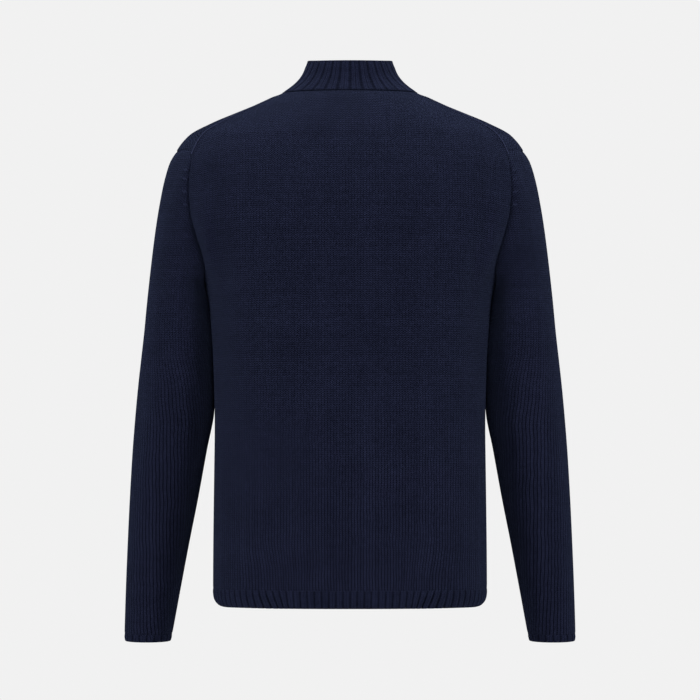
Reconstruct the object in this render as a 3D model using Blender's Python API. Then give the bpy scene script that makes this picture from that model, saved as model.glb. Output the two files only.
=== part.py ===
"""A knitted zip-up cardigan, filled out as if it were worn.

The front faces -Y, the wearer's left side is +X and up is +Z. The origin lies
in the middle of the neck opening, level with the side neck points, where the
wearer's shoulders carry the garment. Sizes are in millimetres until a mesh is
made, which is in metres.

The body pieces lie on one skin. A place on it is (t, z): z is the height, and
t runs round the horizontal section at that height, from -1 at the centre front
through 0 at the side or the top of the shoulder to 1 at the centre back. The
sleeves are lofted from the armhole through oval sections down to the cuff, and
the collar rises from the neck seam to its own rim.
"""

import math

import bmesh
import bpy
import numpy as np
from mathutils import Vector

MM = 0.001

# Cloth and seams
BODY_WALL = 2.6
RIB_WALL = 2.6
SEAM_GAP = 0.34
RIB_RELIEF = 1.3
CUFF_RIB_RELIEF = 0.8

# Heights of the main lines
HEM_BOTTOM_Z = -671.0
HEM_TOP_Z = -648.0
UNDERARM_Z = -255.0
SHOULDER_TIP_Z = -77.0
SHOULDER_CORNER_Z = -84.0
NECK_FRONT_Z = -60.0
NECK_HALF_WIDTH = 88.0

# Horizontal sections of the body skin
BODY_SECTIONS = [
    # z, half width, depth to the back, depth to the front, squareness
    (0.0, 88.0, 60.0, 50.0, 2.00),
    (-5.0, 98.0, 64.5, 51.5, 2.00),
    (-10.0, 109.5, 69.0, 53.0, 2.00),
    (-25.0, 146.5, 78.0, 58.0, 2.00),
    (-40.0, 182.5, 86.0, 66.0, 2.00),
    (-56.0, 212.0, 93.0, 76.0, 2.02),
    (-77.0, 229.0, 101.0, 89.0, 2.06),
    (-98.0, 238.0, 108.0, 101.0, 2.12),
    (-125.0, 242.0, 114.5, 112.0, 2.18),
    (-155.0, 239.0, 119.5, 121.0, 2.26),
    (-187.0, 227.0, 122.4, 127.0, 2.36),
    (-220.0, 208.0, 123.7, 130.0, 2.48),
    (-255.0, 190.5, 123.8, 131.0, 2.60),
    (-300.0, 181.5, 122.6, 131.0, 2.70),
    (-360.0, 177.0, 120.4, 130.0, 2.75),
    (-440.0, 178.0, 117.5, 128.5, 2.75),
    (-540.0, 179.5, 117.5, 127.5, 2.75),
    (-648.0, 180.5, 117.0, 126.0, 2.70),
    (-671.0, 178.0, 115.5, 124.5, 2.70),
]
SECTION_STEPS = 240

# The hem hangs a little lower at the back and at the sides than at the zip
SAG_BACK = 1.6
SAG_SIDE = 3.6
SAG_REACH = 0.3
SAG_TOP_Z = -540.0
SAG_FULL_Z = -640.0
LINE_SAMPLES = 160

# Soft folds in the body: where, how far they reach, and how high they stand
BODY_FOLDS = [
    # t, width in t, z, height in z, rise
    (0.310, 0.045, -185.0, 62.0, 3.2),
    (0.200, 0.045, -200.0, 44.0, -4.0),
    (-0.31, 0.050, -190.0, 60.0, 2.6),
    (-0.20, 0.045, -205.0, 44.0, -3.4),
    (0.140, 0.060, -338.0, 78.0, 4.2),
    (-0.05, 0.070, -345.0, 70.0, -4.0),
    (0.40, 0.080, -330.0, 120.0, 1.6),
    (0.24, 0.070, -520.0, 110.0, 1.6),
    (0.62, 0.100, -470.0, 150.0, -1.4),
    (-0.34, 0.080, -360.0, 130.0, 1.8),
    (-0.55, 0.090, -500.0, 140.0, -1.5),
]

# Armhole: how far it lies from the side line, measured round the skin
ARMHOLE_BACK = 76.0
ARMHOLE_FRONT = 84.0
ARMHOLE_TOP_BACK_POWER = 0.25
ARMHOLE_TOP_FRONT_POWER = 0.45
ARMHOLE_BOTTOM_POWER = 0.95
SHOULDER_SEAM_POWER = 0.50

# Sleeve sections, from the armhole to the cuff: each is an oval between a
# point under the arm and a point on the outside of the arm
SLEEVE_SECTIONS = [
    # under x, under z, outer x, outer z, middle y, half depth, squareness
    (190.5, -255.0, 228.0, -77.0, -3.0, 58.0, 2.15),
    (190.0, -258.5, 236.5, -90.0, -3.0, 63.0, 2.15),
    (188.4, -263.0, 245.0, -116.0, -4.0, 67.0, 2.15),
    (187.0, -269.5, 251.5, -147.0, -5.0, 69.5, 2.15),
    (185.6, -277.0, 257.5, -186.0, -6.0, 70.5, 2.15),
    (184.0, -286.0, 263.0, -230.0, -7.0, 70.5, 2.20),
    (181.8, -298.0, 268.0, -275.0, -8.0, 69.5, 2.20),
    (179.4, -318.0, 272.0, -316.0, -9.0, 67.5, 2.20),
    (177.6, -350.0, 276.0, -350.0, -11.0, 64.0, 2.20),
    (178.0, -384.0, 280.0, -384.0, -13.0, 59.5, 2.15),
    (180.2, -422.0, 284.0, -422.0, -17.0, 55.5, 2.10),
    (189.7, -471.0, 288.3, -471.0, -23.0, 51.5, 2.10),
    (202.0, -537.0, 292.6, -537.0, -31.0, 47.0, 2.10),
    (214.0, -596.0, 295.9, -596.0, -39.0, 43.0, 2.10),
    (225.2, -654.0, 298.7, -654.0, -46.0, 38.5, 2.10),
    (237.2, -717.0, 301.0, -717.0, -53.0, 33.5, 2.10),
    (239.8, -727.5, 300.0, -727.5, -54.5, 32.0, 2.10),
]
CUFF_SECTION = 15
CAP_BLEND_SECTIONS = 4.0
SLEEVE_FOLDS = [
    # place round the sleeve, width, section, sections long, rise
    (0.30, 0.050, 9.2, 1.0, 1.6),
    (0.42, 0.045, 10.4, 0.9, -1.8),
    (0.78, 0.050, 9.8, 1.0, -1.8),
    (0.66, 0.050, 11.0, 1.1, 1.5),
]

# Collar
COLLAR_HALF_WIDTH = 57.6
COLLAR_BACK = 46.0
COLLAR_FRONT = 61.0
COLLAR_SQUARENESS = 2.15
COLLAR_TOP_BACK_Z = 39.5
COLLAR_TOP_FRONT_Z = -9.0
COLLAR_FLARE_FRONT = 1.1
COLLAR_FLARE_BACK = 2.15
COLLAR_RIM_START = 0.85
COLLAR_FALL_START = 0.02
COLLAR_SIDE_RISE = 2.6
COLLAR_SIDE_RISE_DEPTH = 30.0
COLLAR_CURL = 3.4
COLLAR_CURL_START = 0.72
COLLAR_STRAIGHT_SHARE = 0.03

# Ribs: how many in each piece, the columns that draw one, and how much of the
# relief each row of the piece has
RIB_SHAPE = (0.0, 1.0, 1.0)
HEM_RIBS_BACK = 54
HEM_RIBS_FRONT = 26
HEM_RISE = (0.8, 1.0)
CUFF_RIBS = 20
CUFF_RISE = (0.6, 1.0)
COLLAR_RIBS_HALF = 16
COLLAR_HEIGHTS = (0.0, 0.16, 0.45, 0.8, 1.0)
COLLAR_RISE = (0.0, 1.0, 1.0, 1.0, 0.7)

# Mesh steps
SIDE_STEPS = 9
ARMHOLE_BACK_STEPS = 9
ARMHOLE_FRONT_STEPS = 13
SHOULDER_STEPS = 11
BACK_HALF_STEPS = 13
SLEEVE_STEPS = 20
NECKLINE_ROWS = 7
ROW_DIP = 16.0
ROW_DIP_WIDTH = 0.45
ROW_DIP_POWER = 0.6
SHARP_ANGLE = 50

# Zip
ZIP_EDGE_X = 6.0
TAPE_MIDDLE_X = 9.0
TAPE_OUTER_X = 16.0
TAPE_THICKNESS = 0.8
TAPE_ABOVE_HEM = 2.0
TAPE_TOP_SHARE = 0.94
ZIP_COLLAR_STEPS = 5
COLLAR_ZIP_SHARE = 0.12
CHAIN_HALF_WIDTH = 2.4
CHAIN_HALF_THICKNESS = 1.2
SLIDER_SHARE = 0.74
SLIDER_WIDTH = 9.0
SLIDER_LENGTH = 11.5
SLIDER_PLATE = 1.3
POST_WIDTH = 1.6
POST_LENGTH = 3.4
POST_BELOW_TOP = 2.2
BRIDGE_WIDTH = 2.0
BRIDGE_LENGTH = 8.0
BRIDGE_HEIGHT = 3.5
BRIDGE_STRIP = 1.2
BRIDGE_END = 1.6
BRIDGE_SUNK = 0.4
WINDOW_SILL = 0.3
WINDOW_HEIGHT = BRIDGE_HEIGHT - BRIDGE_STRIP - WINDOW_SILL
PULL_WIDTH = 6.0
PULL_LENGTH = 25.0
PULL_THICKNESS = 1.1
PULL_EYE_HALF_WIDTH = 1.5
PULL_EYE_LENGTH = 4.7
PULL_TOP_CORNER = 0.6
PULL_TIP_CORNER = 1.6
STOP_SIZE = (2.2, 1.2, 3.0)
STOP_ABOVE_SLIDER = 0.4
BOX_SIZE = (4.8, 4.2, 8.5)
METAL_BEVEL = 0.3

# Colours: red, green, blue in linear light
NAVY = (0.0098, 0.0115, 0.0265, 1.0)
TAPE_NAVY = (0.0070, 0.0085, 0.0190, 1.0)
DARK_METAL = (0.055, 0.057, 0.062, 1.0)


# ---------------------------------------------------------------- helpers


def unit(vectors):
    vectors = np.asarray(vectors, float)
    return vectors / np.maximum(np.linalg.norm(vectors, axis=-1, keepdims=True), 1e-9)


def flat(vectors):
    """The same directions, turned level."""
    return unit(np.asarray(vectors) * (1.0, 1.0, 0.0))


def smooth_column(places, values, at):
    """A smooth curve through a table's column, with no overshoot."""
    places, values = np.asarray(places, float), np.asarray(values, float)
    step = np.diff(places)
    slope = np.diff(values) / step
    tangent = np.empty_like(values)
    tangent[0], tangent[-1] = slope[0], slope[-1]
    product = slope[:-1] * slope[1:]
    total = np.where(np.abs(slope[:-1] + slope[1:]) < 1e-12, 1.0, slope[:-1] + slope[1:])
    tangent[1:-1] = np.where(product > 0, 2 * product / total, 0.0)
    at = np.clip(at, places[0], places[-1])
    i = np.clip(np.searchsorted(places, at, side="right") - 1, 0, len(step) - 1)
    u = (at - places[i]) / step[i]
    return (
        (2 * u**3 - 3 * u**2 + 1) * values[i]
        + (u**3 - 2 * u**2 + u) * step[i] * tangent[i]
        + (3 * u**2 - 2 * u**3) * values[i + 1]
        + (u**3 - u**2) * step[i] * tangent[i + 1]
    )


def table_reader(rows, places):
    columns = np.array(rows, float).T

    def read(column, at):
        return smooth_column(places, columns[column], at)

    return read


def power(value, exponent):
    return np.sign(value) * np.abs(value) ** exponent


def bump(value, middle, width):
    return np.exp(-(((value - middle) / width) ** 2))


def eased(value):
    """0 up to 0, 1 from 1, and smooth between."""
    value = np.clip(value, 0.0, 1.0)
    return value * value * (3 - 2 * value)


def lengths_along(points):
    steps = np.linalg.norm(np.diff(points, axis=0), axis=1)
    return np.concatenate([[0.0], np.cumsum(steps)])


def resample(points, carried, count):
    """carried, read at count + 1 places evenly spaced along points."""
    along = lengths_along(points)
    wanted = np.linspace(0, along[-1], count + 1)
    return np.stack([np.interp(wanted, along, column) for column in np.transpose(carried)], 1)


# ------------------------------------------------------------- body skin

SECTIONS_UP = BODY_SECTIONS[::-1]
body_column = table_reader(
    [row[1:] for row in SECTIONS_UP], [row[0] for row in SECTIONS_UP]
)


def body_section(z):
    """Half of the section at height z: its points and the length from the side line."""
    half_width, back, front, squareness = (body_column(c, z) for c in range(4))
    angle = np.linspace(-math.pi / 2, math.pi / 2, SECTION_STEPS + 1)
    x = half_width * np.abs(np.cos(angle)) ** (2 / squareness)
    depth = np.where(angle < 0, front, back)
    y = depth * power(np.sin(angle), 2 / squareness)
    along = lengths_along(np.stack([x, y], 1))
    return x, y, along - along[SECTION_STEPS // 2]


def body_fold(t, z):
    rise = 0.0
    for fold_t, width, fold_z, height, fold_rise in BODY_FOLDS:
        rise += fold_rise * bump(t, fold_t, width) * bump(z, fold_z, height)
    return rise


def hem_sag(t, z):
    drop = SAG_BACK * eased(t / SAG_REACH) + SAG_SIDE * bump(t, 0.0, SAG_REACH)
    return drop * eased((SAG_TOP_Z - z) / (SAG_TOP_Z - SAG_FULL_Z))


def body_point(t, z):
    """The skin's point at (t, z), on the wearer's left half."""
    x, y, along = body_section(z)
    wanted = t * (along[-1] if t > 0 else -along[0])
    point = np.array([np.interp(wanted, along, x), np.interp(wanted, along, y)])
    ahead = np.array([np.interp(wanted + 1, along, x), np.interp(wanted + 1, along, y)])
    behind = np.array([np.interp(wanted - 1, along, x), np.interp(wanted - 1, along, y)])
    run = ahead - behind
    outward = unit([run[1], -run[0]])
    point = point + outward * body_fold(t, z)
    return np.array([max(point[0], 0.0), point[1], z - hem_sag(t, z)])


def body_normal(t, z):
    dt, dz = 0.004, 1.5
    low_t, high_t = max(t - dt, -1.0), min(t + dt, 1.0)
    low_z, high_z = max(z - dz, HEM_BOTTOM_Z), min(z + dz, 0.0)
    round_it = body_point(high_t, z) - body_point(low_t, z)
    up_it = body_point(t, high_z) - body_point(t, low_z)
    normal = unit(np.cross(round_it, up_it))
    if abs(t) == 1.0:
        normal = unit([0.0, normal[1], normal[2]])
    return normal


def t_of_length(length, z):
    """t at a length round the section from the side line: back is positive."""
    along = body_section(z)[2]
    return length / along[-1] if length > 0 else length / -along[0]


def t_of_front_x(x_wanted, z):
    x, _, along = body_section(z)
    front = slice(0, SECTION_STEPS // 2 + 1)
    length = np.interp(x_wanted, x[front], along[front])
    return length / -along[0]


# ------------------------------------------------- seam lines on the skin


def armhole_place(angle):
    """(t, z) on the armhole: 0 is under the arm, and it runs over the back to the top."""
    middle = (UNDERARM_Z + SHOULDER_TIP_Z) / 2
    half = (SHOULDER_TIP_Z - UNDERARM_Z) / 2
    z = middle - half * math.cos(angle)
    side = math.sin(angle)
    if side >= 0:
        reach = ARMHOLE_BACK
        top_power = ARMHOLE_TOP_BACK_POWER
    else:
        reach = -ARMHOLE_FRONT
        top_power = ARMHOLE_TOP_FRONT_POWER
    share = 0.5 - 0.5 * math.cos(angle)
    exponent = ARMHOLE_BOTTOM_POWER + (top_power - ARMHOLE_BOTTOM_POWER) * share
    return t_of_length(reach * abs(side) ** exponent, z), z


def places_to_points(places):
    return np.array([body_point(t, z) for t, z in places])


def armhole_run(first, last, count):
    places = [armhole_place(angle) for angle in np.linspace(first, last, LINE_SAMPLES)]
    return resample(places_to_points(places), places, count)


def corner_angle():
    """The armhole's angle where the shoulder seam meets it, on the back."""
    middle = (UNDERARM_Z + SHOULDER_TIP_Z) / 2
    half = (SHOULDER_TIP_Z - UNDERARM_Z) / 2
    return math.acos((middle - SHOULDER_CORNER_Z) / half)


ARMHOLE_BACK_PLACES = armhole_run(0.0, corner_angle(), ARMHOLE_BACK_STEPS)
ARMHOLE_FRONT_PLACES = armhole_run(2 * math.pi, corner_angle(), ARMHOLE_FRONT_STEPS)


def shoulder_seam():
    """From the corner on the armhole up to the side neck point."""
    corner_t, corner_z = ARMHOLE_BACK_PLACES[-1]
    corner_length = corner_t * body_section(corner_z)[2][-1]
    places = []
    for share in np.linspace(1.0, 0.0, LINE_SAMPLES):
        z = corner_z * share
        places.append((t_of_length(corner_length * share**SHOULDER_SEAM_POWER, z), z))
    return resample(places_to_points(places), places, SHOULDER_STEPS)


SHOULDER_PLACES = shoulder_seam()


def front_neckline(count):
    """From the zip edge up to the side neck point."""
    places = []
    for angle in np.linspace(math.pi / 2, 0.0, LINE_SAMPLES):
        z = NECK_FRONT_Z * math.sin(angle)
        x = ZIP_EDGE_X + (NECK_HALF_WIDTH - ZIP_EDGE_X) * math.cos(angle)
        places.append((t_of_front_x(min(x, body_column(0, z)), z), z))
    places[-1] = (0.0, 0.0)
    return resample(places_to_points(places), places, count)


# ----------------------------------------------------------- wall meshes

MATERIALS = {}


def material(name, colour, roughness, metallic):
    if name not in MATERIALS:
        made = bpy.data.materials.new(name)
        made.use_nodes = True
        shader = made.node_tree.nodes["Principled BSDF"]
        shader.inputs["Base Color"].default_value = colour
        shader.inputs["Roughness"].default_value = roughness
        shader.inputs["Metallic"].default_value = metallic
        MATERIALS[name] = made
    return MATERIALS[name]


def knit():
    return material("navy_knit", NAVY, 0.92, 0.0)


def rib_knit():
    return material("navy_rib", NAVY, 0.92, 0.0)


def zip_cloth():
    return material("zip_tape", TAPE_NAVY, 0.80, 0.0)


def zip_metal():
    return material("zip_metal", DARK_METAL, 0.38, 0.9)


def new_object(name, mesh, finish):
    mesh.materials.append(finish)
    made = bpy.data.objects.new(name, mesh)
    bpy.context.scene.collection.objects.link(made)
    return made


def rim_order(point):
    """Ranks points, so that both walls at a seam split their rims the same way."""
    return abs(point[0]) * 0.31 + point[1] * 0.17 + point[2]


def wall_object(name, outer, inner, closed, finish):
    """A closed wall between two grids of points, outer[row][column] and inner."""
    rows, columns = outer.shape[:2]
    points = np.concatenate([outer.reshape(-1, 3), inner.reshape(-1, 3)]) * MM
    inside = rows * columns

    def at(layer, row, column):
        return layer * inside + row * columns + column % columns

    faces = []
    spans = columns if closed else columns - 1
    for row in range(rows - 1):
        for column in range(spans):
            a, b = (row, column), (row, column + 1)
            c, d = (row + 1, column + 1), (row + 1, column)
            faces.append([at(0, *place) for place in (a, b, c, d)])
            faces.append([at(1, *place) for place in (d, c, b, a)])
    borders = []
    for row in (0, rows - 1):
        borders += [((row, column), (row, column + 1)) for column in range(spans)]
    if not closed:
        for column in (0, columns - 1):
            borders += [((row, column), (row + 1, column)) for row in range(rows - 1)]
    for a, b in borders:
        if rim_order(points[at(0, *a)]) > rim_order(points[at(0, *b)]):
            a, b = b, a
        faces.append([at(0, *a), at(1, *a), at(1, *b)])
        faces.append([at(0, *a), at(1, *b), at(0, *b)])
    mesh = bpy.data.meshes.new(name)
    mesh.from_pydata([tuple(p) for p in points], [], faces)
    work = bmesh.new()
    work.from_mesh(mesh)
    bmesh.ops.recalc_face_normals(work, faces=work.faces)
    bmesh.ops.triangulate(work, faces=work.faces, quad_method="SHORT_EDGE")
    work.to_mesh(mesh)
    work.free()
    mesh.shade_smooth()
    mesh.set_sharp_from_angle(angle=math.radians(SHARP_ANGLE))
    return new_object(name, mesh, finish)


def mirrored(points):
    return points * np.array([-1.0, 1.0, 1.0])


def part_from(outer, inner, row, column, away):
    """Moves a border of a wall off the seam by half the seam gap, along away."""
    shift = away * SEAM_GAP / 2
    outer[row, column] += shift
    inner[row, column] += shift


# ------------------------------------------------------------ body panels


def ruled_panel(edge_places, middle_places, columns, top_places=None):
    """Points and normals of a panel whose rows run from its edge to its middle.

    Where its top follows a seam, the rows above the underarm bend towards it.
    """
    share = np.linspace(0, 1, columns + 1)[None, :, None]
    places = edge_places[:, None, :] * (1 - share) + middle_places[:, None, :] * share
    above_hem = (np.arange(len(places)) / SIDE_STEPS)[:, None]
    across = np.sin(math.pi * share[..., 0] ** ROW_DIP_POWER)
    dip = ROW_DIP * bump(above_hem, 1.0, ROW_DIP_WIDTH) * across
    dip[0] = 0
    places[..., 1] -= dip
    if top_places is not None:
        row = np.arange(len(places))
        rise = np.clip((row - SIDE_STEPS) / (len(places) - 1 - SIDE_STEPS), 0, 1)
        places = places + (top_places - places[-1])[None] * (rise**2)[:, None, None]
    points = np.array([[body_point(t, z) for t, z in row] for row in places])
    normals = np.array([[body_normal(t, z) for t, z in row] for row in places])
    return points, normals


def side_heights():
    """The heights of the rows from the hem band to the underarm."""
    return np.linspace(HEM_TOP_Z, UNDERARM_Z, SIDE_STEPS + 1)


def back_edge():
    side = [(0.0, z) for z in side_heights()]
    return np.concatenate([side, ARMHOLE_BACK_PLACES[1:], SHOULDER_PLACES[1:]])


def back_middle():
    upper = np.linspace(UNDERARM_Z, 0.0, ARMHOLE_BACK_STEPS + SHOULDER_STEPS + 1)
    z = np.concatenate([side_heights(), upper[1:]])
    return np.stack([np.ones_like(z), z], 1)


def front_edge():
    side = [(0.0, z) for z in side_heights()]
    return np.concatenate([side, ARMHOLE_FRONT_PLACES[1:]])


def zip_heights():
    """The heights of the front's rows along the zip, from the hem band to the collar."""
    upper = np.linspace(UNDERARM_Z, NECK_FRONT_Z, ARMHOLE_FRONT_STEPS - NECKLINE_ROWS + 1)
    return np.concatenate([side_heights(), upper[1:]])


def front_middle():
    zip_side = [(t_of_front_x(ZIP_EDGE_X, z), z) for z in zip_heights()]
    return np.concatenate([zip_side, front_neckline(NECKLINE_ROWS)[1:]])


def armhole_frame(sleeve):
    """For each place of the armhole: the shared normal and the way off the seam."""
    normals = unit(sleeve["body_normals"] + sleeve["normals"][0])
    return normals, sleeve["away"]


def body_pieces(sleeve, collar_normals):
    """The back and the two fronts, each half worked out on the wearer's left."""
    arm_normals, arm_away = armhole_frame(sleeve)
    back_count = ARMHOLE_BACK_STEPS + 1
    back_arm_rows = np.arange(SIDE_STEPS, SIDE_STEPS + back_count)
    points, normals = ruled_panel(back_edge(), back_middle(), BACK_HALF_STEPS)
    normals[0] = flat(normals[0])
    across = unit(points[:, 1] - points[:, 0])
    normals[back_arm_rows, 0] = arm_normals[:back_count]
    normals[-1] = collar_normals["back"]
    outer, inner = points.copy(), points - normals * BODY_WALL
    for row in range(len(points)):
        away = across[row].copy()
        if SIDE_STEPS < row < SIDE_STEPS + ARMHOLE_BACK_STEPS:
            away = -arm_away[row - SIDE_STEPS]
        elif row == SIDE_STEPS:
            away = away - arm_away[0]
        elif row == SIDE_STEPS + ARMHOLE_BACK_STEPS:
            away = away - arm_away[ARMHOLE_BACK_STEPS]
        part_from(outer, inner, row, 0, away)
    down = unit(points[-2] - points[-1])
    for column in range(BACK_HALF_STEPS + 1):
        part_from(outer, inner, -1, column, down[column])
    outer_full = np.concatenate([outer, mirrored(outer)[:, -2::-1]], 1)
    inner_full = np.concatenate([inner, mirrored(inner)[:, -2::-1]], 1)
    wall_object("back", outer_full, inner_full, False, knit())

    points, normals = ruled_panel(
        front_edge(), front_middle(), SHOULDER_STEPS, SHOULDER_PLACES
    )
    normals[0] = flat(normals[0])
    across = unit(points[:, 1] - points[:, 0])
    front_rows = np.arange(SIDE_STEPS, len(points))
    loop = [0] + list(range(-1, -ARMHOLE_FRONT_STEPS, -1)) + [ARMHOLE_BACK_STEPS]
    normals[front_rows, 0] = arm_normals[loop]
    neck_rows = np.arange(len(points) - NECKLINE_ROWS - 1, len(points))
    normals[neck_rows, -1] = collar_normals["front"]
    outer, inner = points.copy(), points - normals * BODY_WALL
    for row in range(len(points)):
        if row < SIDE_STEPS:
            away = across[row]
        elif row == SIDE_STEPS:
            away = across[row] - arm_away[0]
        else:
            away = -arm_away[loop[row - SIDE_STEPS]]
        part_from(outer, inner, row, 0, away)
    down = unit(points[-2] - points[-1])
    for column in range(SHOULDER_STEPS + 1):
        part_from(outer, inner, -1, column, down[column])
    for row in neck_rows:
        if row == neck_rows[0]:
            away = unit(points[row - 1, -1] - points[row, -1])
        else:
            away = unit(points[row, -2] - points[row, -1])
        part_from(outer, inner, row, -1, away)
    wall_object("front_left", outer, inner, False, knit())
    wall_object("front_right", mirrored(outer), mirrored(inner), False, knit())


# --------------------------------------------------------------- sleeves

sleeve_column = table_reader(SLEEVE_SECTIONS, range(len(SLEEVE_SECTIONS)))


def sleeve_oval(section, fractions):
    """Points of an oval section, by their share of its length from under the arm."""
    under = np.array([sleeve_column(0, section), sleeve_column(1, section)])
    outer = np.array([sleeve_column(2, section), sleeve_column(3, section)])
    middle_y, half_depth, squareness = (sleeve_column(c, section) for c in (4, 5, 6))
    angle = np.linspace(0, 2 * math.pi, SECTION_STEPS + 1)
    middle, half = (under + outer) / 2, (outer - under) / 2
    lift = -power(np.cos(angle), 2 / squareness)
    x = middle[0] + half[0] * lift
    z = middle[1] + half[1] * lift
    y = middle_y + half_depth * power(np.sin(angle), 2 / squareness)
    ring = np.stack([x, y, z], 1)
    along = lengths_along(ring)
    wanted = np.asarray(fractions) * along[-1]
    return np.stack([np.interp(wanted, along, ring[:, c]) for c in range(3)], 1)


def armhole_loop():
    """The armhole's places once round, from under the arm over the back."""
    front = ARMHOLE_FRONT_PLACES[1:-1][::-1]
    return np.concatenate([ARMHOLE_BACK_PLACES, front])


def sleeve_skin(sections, fractions, loop):
    """The sleeve's points: row by section, column by share of the way round."""
    first = sleeve_oval(0.0, fractions)
    rows = []
    for section in sections:
        ring = sleeve_oval(section, fractions)
        share = min(section / CAP_BLEND_SECTIONS, 1.0)
        hold = 1 - eased(share)
        middle = ring.mean(0)
        outward = unit(ring - middle)
        rise = np.zeros(len(fractions))
        for place, width, fold_section, reach, fold_rise in SLEEVE_FOLDS:
            rise += fold_rise * bump(fractions, place, width) * bump(section, fold_section, reach)
        rows.append(ring + (loop - first) * hold + outward * rise[:, None])
    return np.array(rows)


def grid_normals(points):
    """Normals of a grid that is closed along its columns."""
    round_it = np.roll(points, -1, 1) - np.roll(points, 1, 1)
    along = np.gradient(points, axis=0)
    normals = unit(np.cross(round_it, along))
    middle = points.mean(1, keepdims=True)
    if (normals[-1] * (points[-1] - middle[-1])).sum() < 0:
        normals = -normals
    return normals


def even_sections(first, last, count):
    """Section numbers spaced evenly along the outside of the arm."""
    numbers = np.linspace(first, last, LINE_SAMPLES)
    line = np.stack([sleeve_column(2, numbers), sleeve_column(3, numbers)], 1)
    under = np.stack([sleeve_column(0, numbers), sleeve_column(1, numbers)], 1)
    along = (lengths_along(line) + lengths_along(under)) / 2
    return np.interp(np.linspace(0, along[-1], count + 1), along, numbers)


def work_out_sleeve():
    places = armhole_loop()
    loop = places_to_points(places)
    along = lengths_along(np.concatenate([loop, loop[:1]]))
    fractions = along[:-1] / along[-1]
    sections = even_sections(0.0, CUFF_SECTION, SLEEVE_STEPS)
    points = sleeve_skin(sections, fractions, loop)
    normals = grid_normals(points)
    body_normals = np.array([body_normal(t, z) for t, z in places])
    run = unit(np.roll(loop, -1, 0) - np.roll(loop, 1, 0))
    into_sleeve = points[1] - points[0]
    into_sleeve = unit(into_sleeve - run * (into_sleeve * run).sum(1)[:, None])
    into_body = np.cross(run, body_normals)
    return {
        "fractions": fractions,
        "loop": loop,
        "points": points,
        "normals": normals,
        "body_normals": body_normals,
        "away": unit(into_sleeve - into_body),
    }


def rib_rows(base, normals, raised, wall):
    return base + normals * raised, base - normals * wall


def sleeve_pieces(sleeve):
    points, normals = sleeve["points"], sleeve["normals"].copy()
    normals[0] = armhole_frame(sleeve)[0]
    normals[-1] = flat(normals[-1])
    outer, inner = points.copy(), points - normals * BODY_WALL
    part_from(outer, inner, 0, slice(None), sleeve["away"])
    part_from(outer, inner, -1, slice(None), unit(points[-2] - points[-1]))
    wall_object("sleeve_left", outer, inner, True, knit())
    wall_object("sleeve_right", mirrored(outer), mirrored(inner), True, knit())

    columns = CUFF_RIBS * len(RIB_SHAPE)
    fractions = np.arange(columns) / columns
    last = len(SLEEVE_SECTIONS) - 1
    sections = [CUFF_SECTION, last]
    base = np.array([sleeve_oval(section, fractions) for section in sections])
    normals = flat(grid_normals(base))
    shape = np.tile(RIB_SHAPE, CUFF_RIBS)
    rise = np.outer(CUFF_RISE, shape * CUFF_RIB_RELIEF)[:, :, None]
    outer, inner = rib_rows(base, normals, rise, RIB_WALL)
    part_from(outer, inner, 0, slice(None), unit(base[1] - base[0]))
    wall_object("cuff_left", outer, inner, True, rib_knit())
    wall_object("cuff_right", mirrored(outer), mirrored(inner), True, rib_knit())


# ------------------------------------------------------------------- hem


def hem_band(name, t_last, ribs, whole):
    """A ribbed band from the side seam to t_last; whole adds its mirror image."""
    columns = ribs * len(RIB_SHAPE)
    places = np.linspace(0, 1, columns + 1)
    heights = (HEM_TOP_Z - SEAM_GAP, HEM_BOTTOM_Z)
    shape = np.append(np.tile(RIB_SHAPE, ribs), RIB_SHAPE[0])
    base, normals = [], []
    for z in heights:
        row = t_last(z) * places
        base.append([body_point(t, z) for t in row])
        normals.append([body_normal(t, z) for t in row])
    base, normals = np.array(base), flat(np.array(normals))
    rise = np.outer(HEM_RISE, shape * RIB_RELIEF)[:, :, None]
    outer, inner = rib_rows(base, normals, rise, RIB_WALL)
    part_from(outer, inner, slice(None), 0, unit(base[:, 1] - base[:, 0]))
    if whole:
        outer = np.concatenate([outer, mirrored(outer)[:, -2::-1]], 1)
        inner = np.concatenate([inner, mirrored(inner)[:, -2::-1]], 1)
    wall_object(name, outer, inner, False, rib_knit())
    return outer, inner


def hem_pieces():
    def centre_back(_z):
        return 1.0

    def zip_edge(z):
        return t_of_front_x(ZIP_EDGE_X, z)

    hem_band("hem_back", centre_back, HEM_RIBS_BACK // 2, True)
    outer, inner = hem_band("hem_front_left", zip_edge, HEM_RIBS_FRONT, False)
    wall_object("hem_front_right", mirrored(outer), mirrored(inner), False, rib_knit())


# ---------------------------------------------------------------- collar


def neck_seam():
    """The neck seam from the zip edge to the centre back, with the skin's normals."""
    back_t = np.linspace(0, 1, BACK_HALF_STEPS + 1)[1:]
    back_row = np.stack([back_t, np.zeros_like(back_t)], 1)
    places = np.concatenate([front_neckline(NECKLINE_ROWS), back_row])
    return places, places_to_points(places)


def collar_rim(share):
    """The rim's point at a share of the way from the zip edge to the centre back."""
    first = -math.pi / 2 + ZIP_EDGE_X / COLLAR_HALF_WIDTH * COLLAR_RIM_START
    angle = first + (math.pi / 2 - first) * share
    x = COLLAR_HALF_WIDTH * np.abs(np.cos(angle)) ** (2 / COLLAR_SQUARENESS)
    depth = np.where(angle < 0, COLLAR_FRONT, COLLAR_BACK)
    y = depth * power(np.sin(angle), 2 / COLLAR_SQUARENESS)
    fall = eased(COLLAR_FALL_START - y / COLLAR_FRONT)
    z = COLLAR_TOP_BACK_Z + (COLLAR_TOP_FRONT_Z - COLLAR_TOP_BACK_Z) * fall
    z = z + COLLAR_SIDE_RISE * bump(y, 0.0, COLLAR_SIDE_RISE_DEPTH)
    return np.stack([np.where(share >= 1, 0.0, x), y, z], -1)


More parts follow.
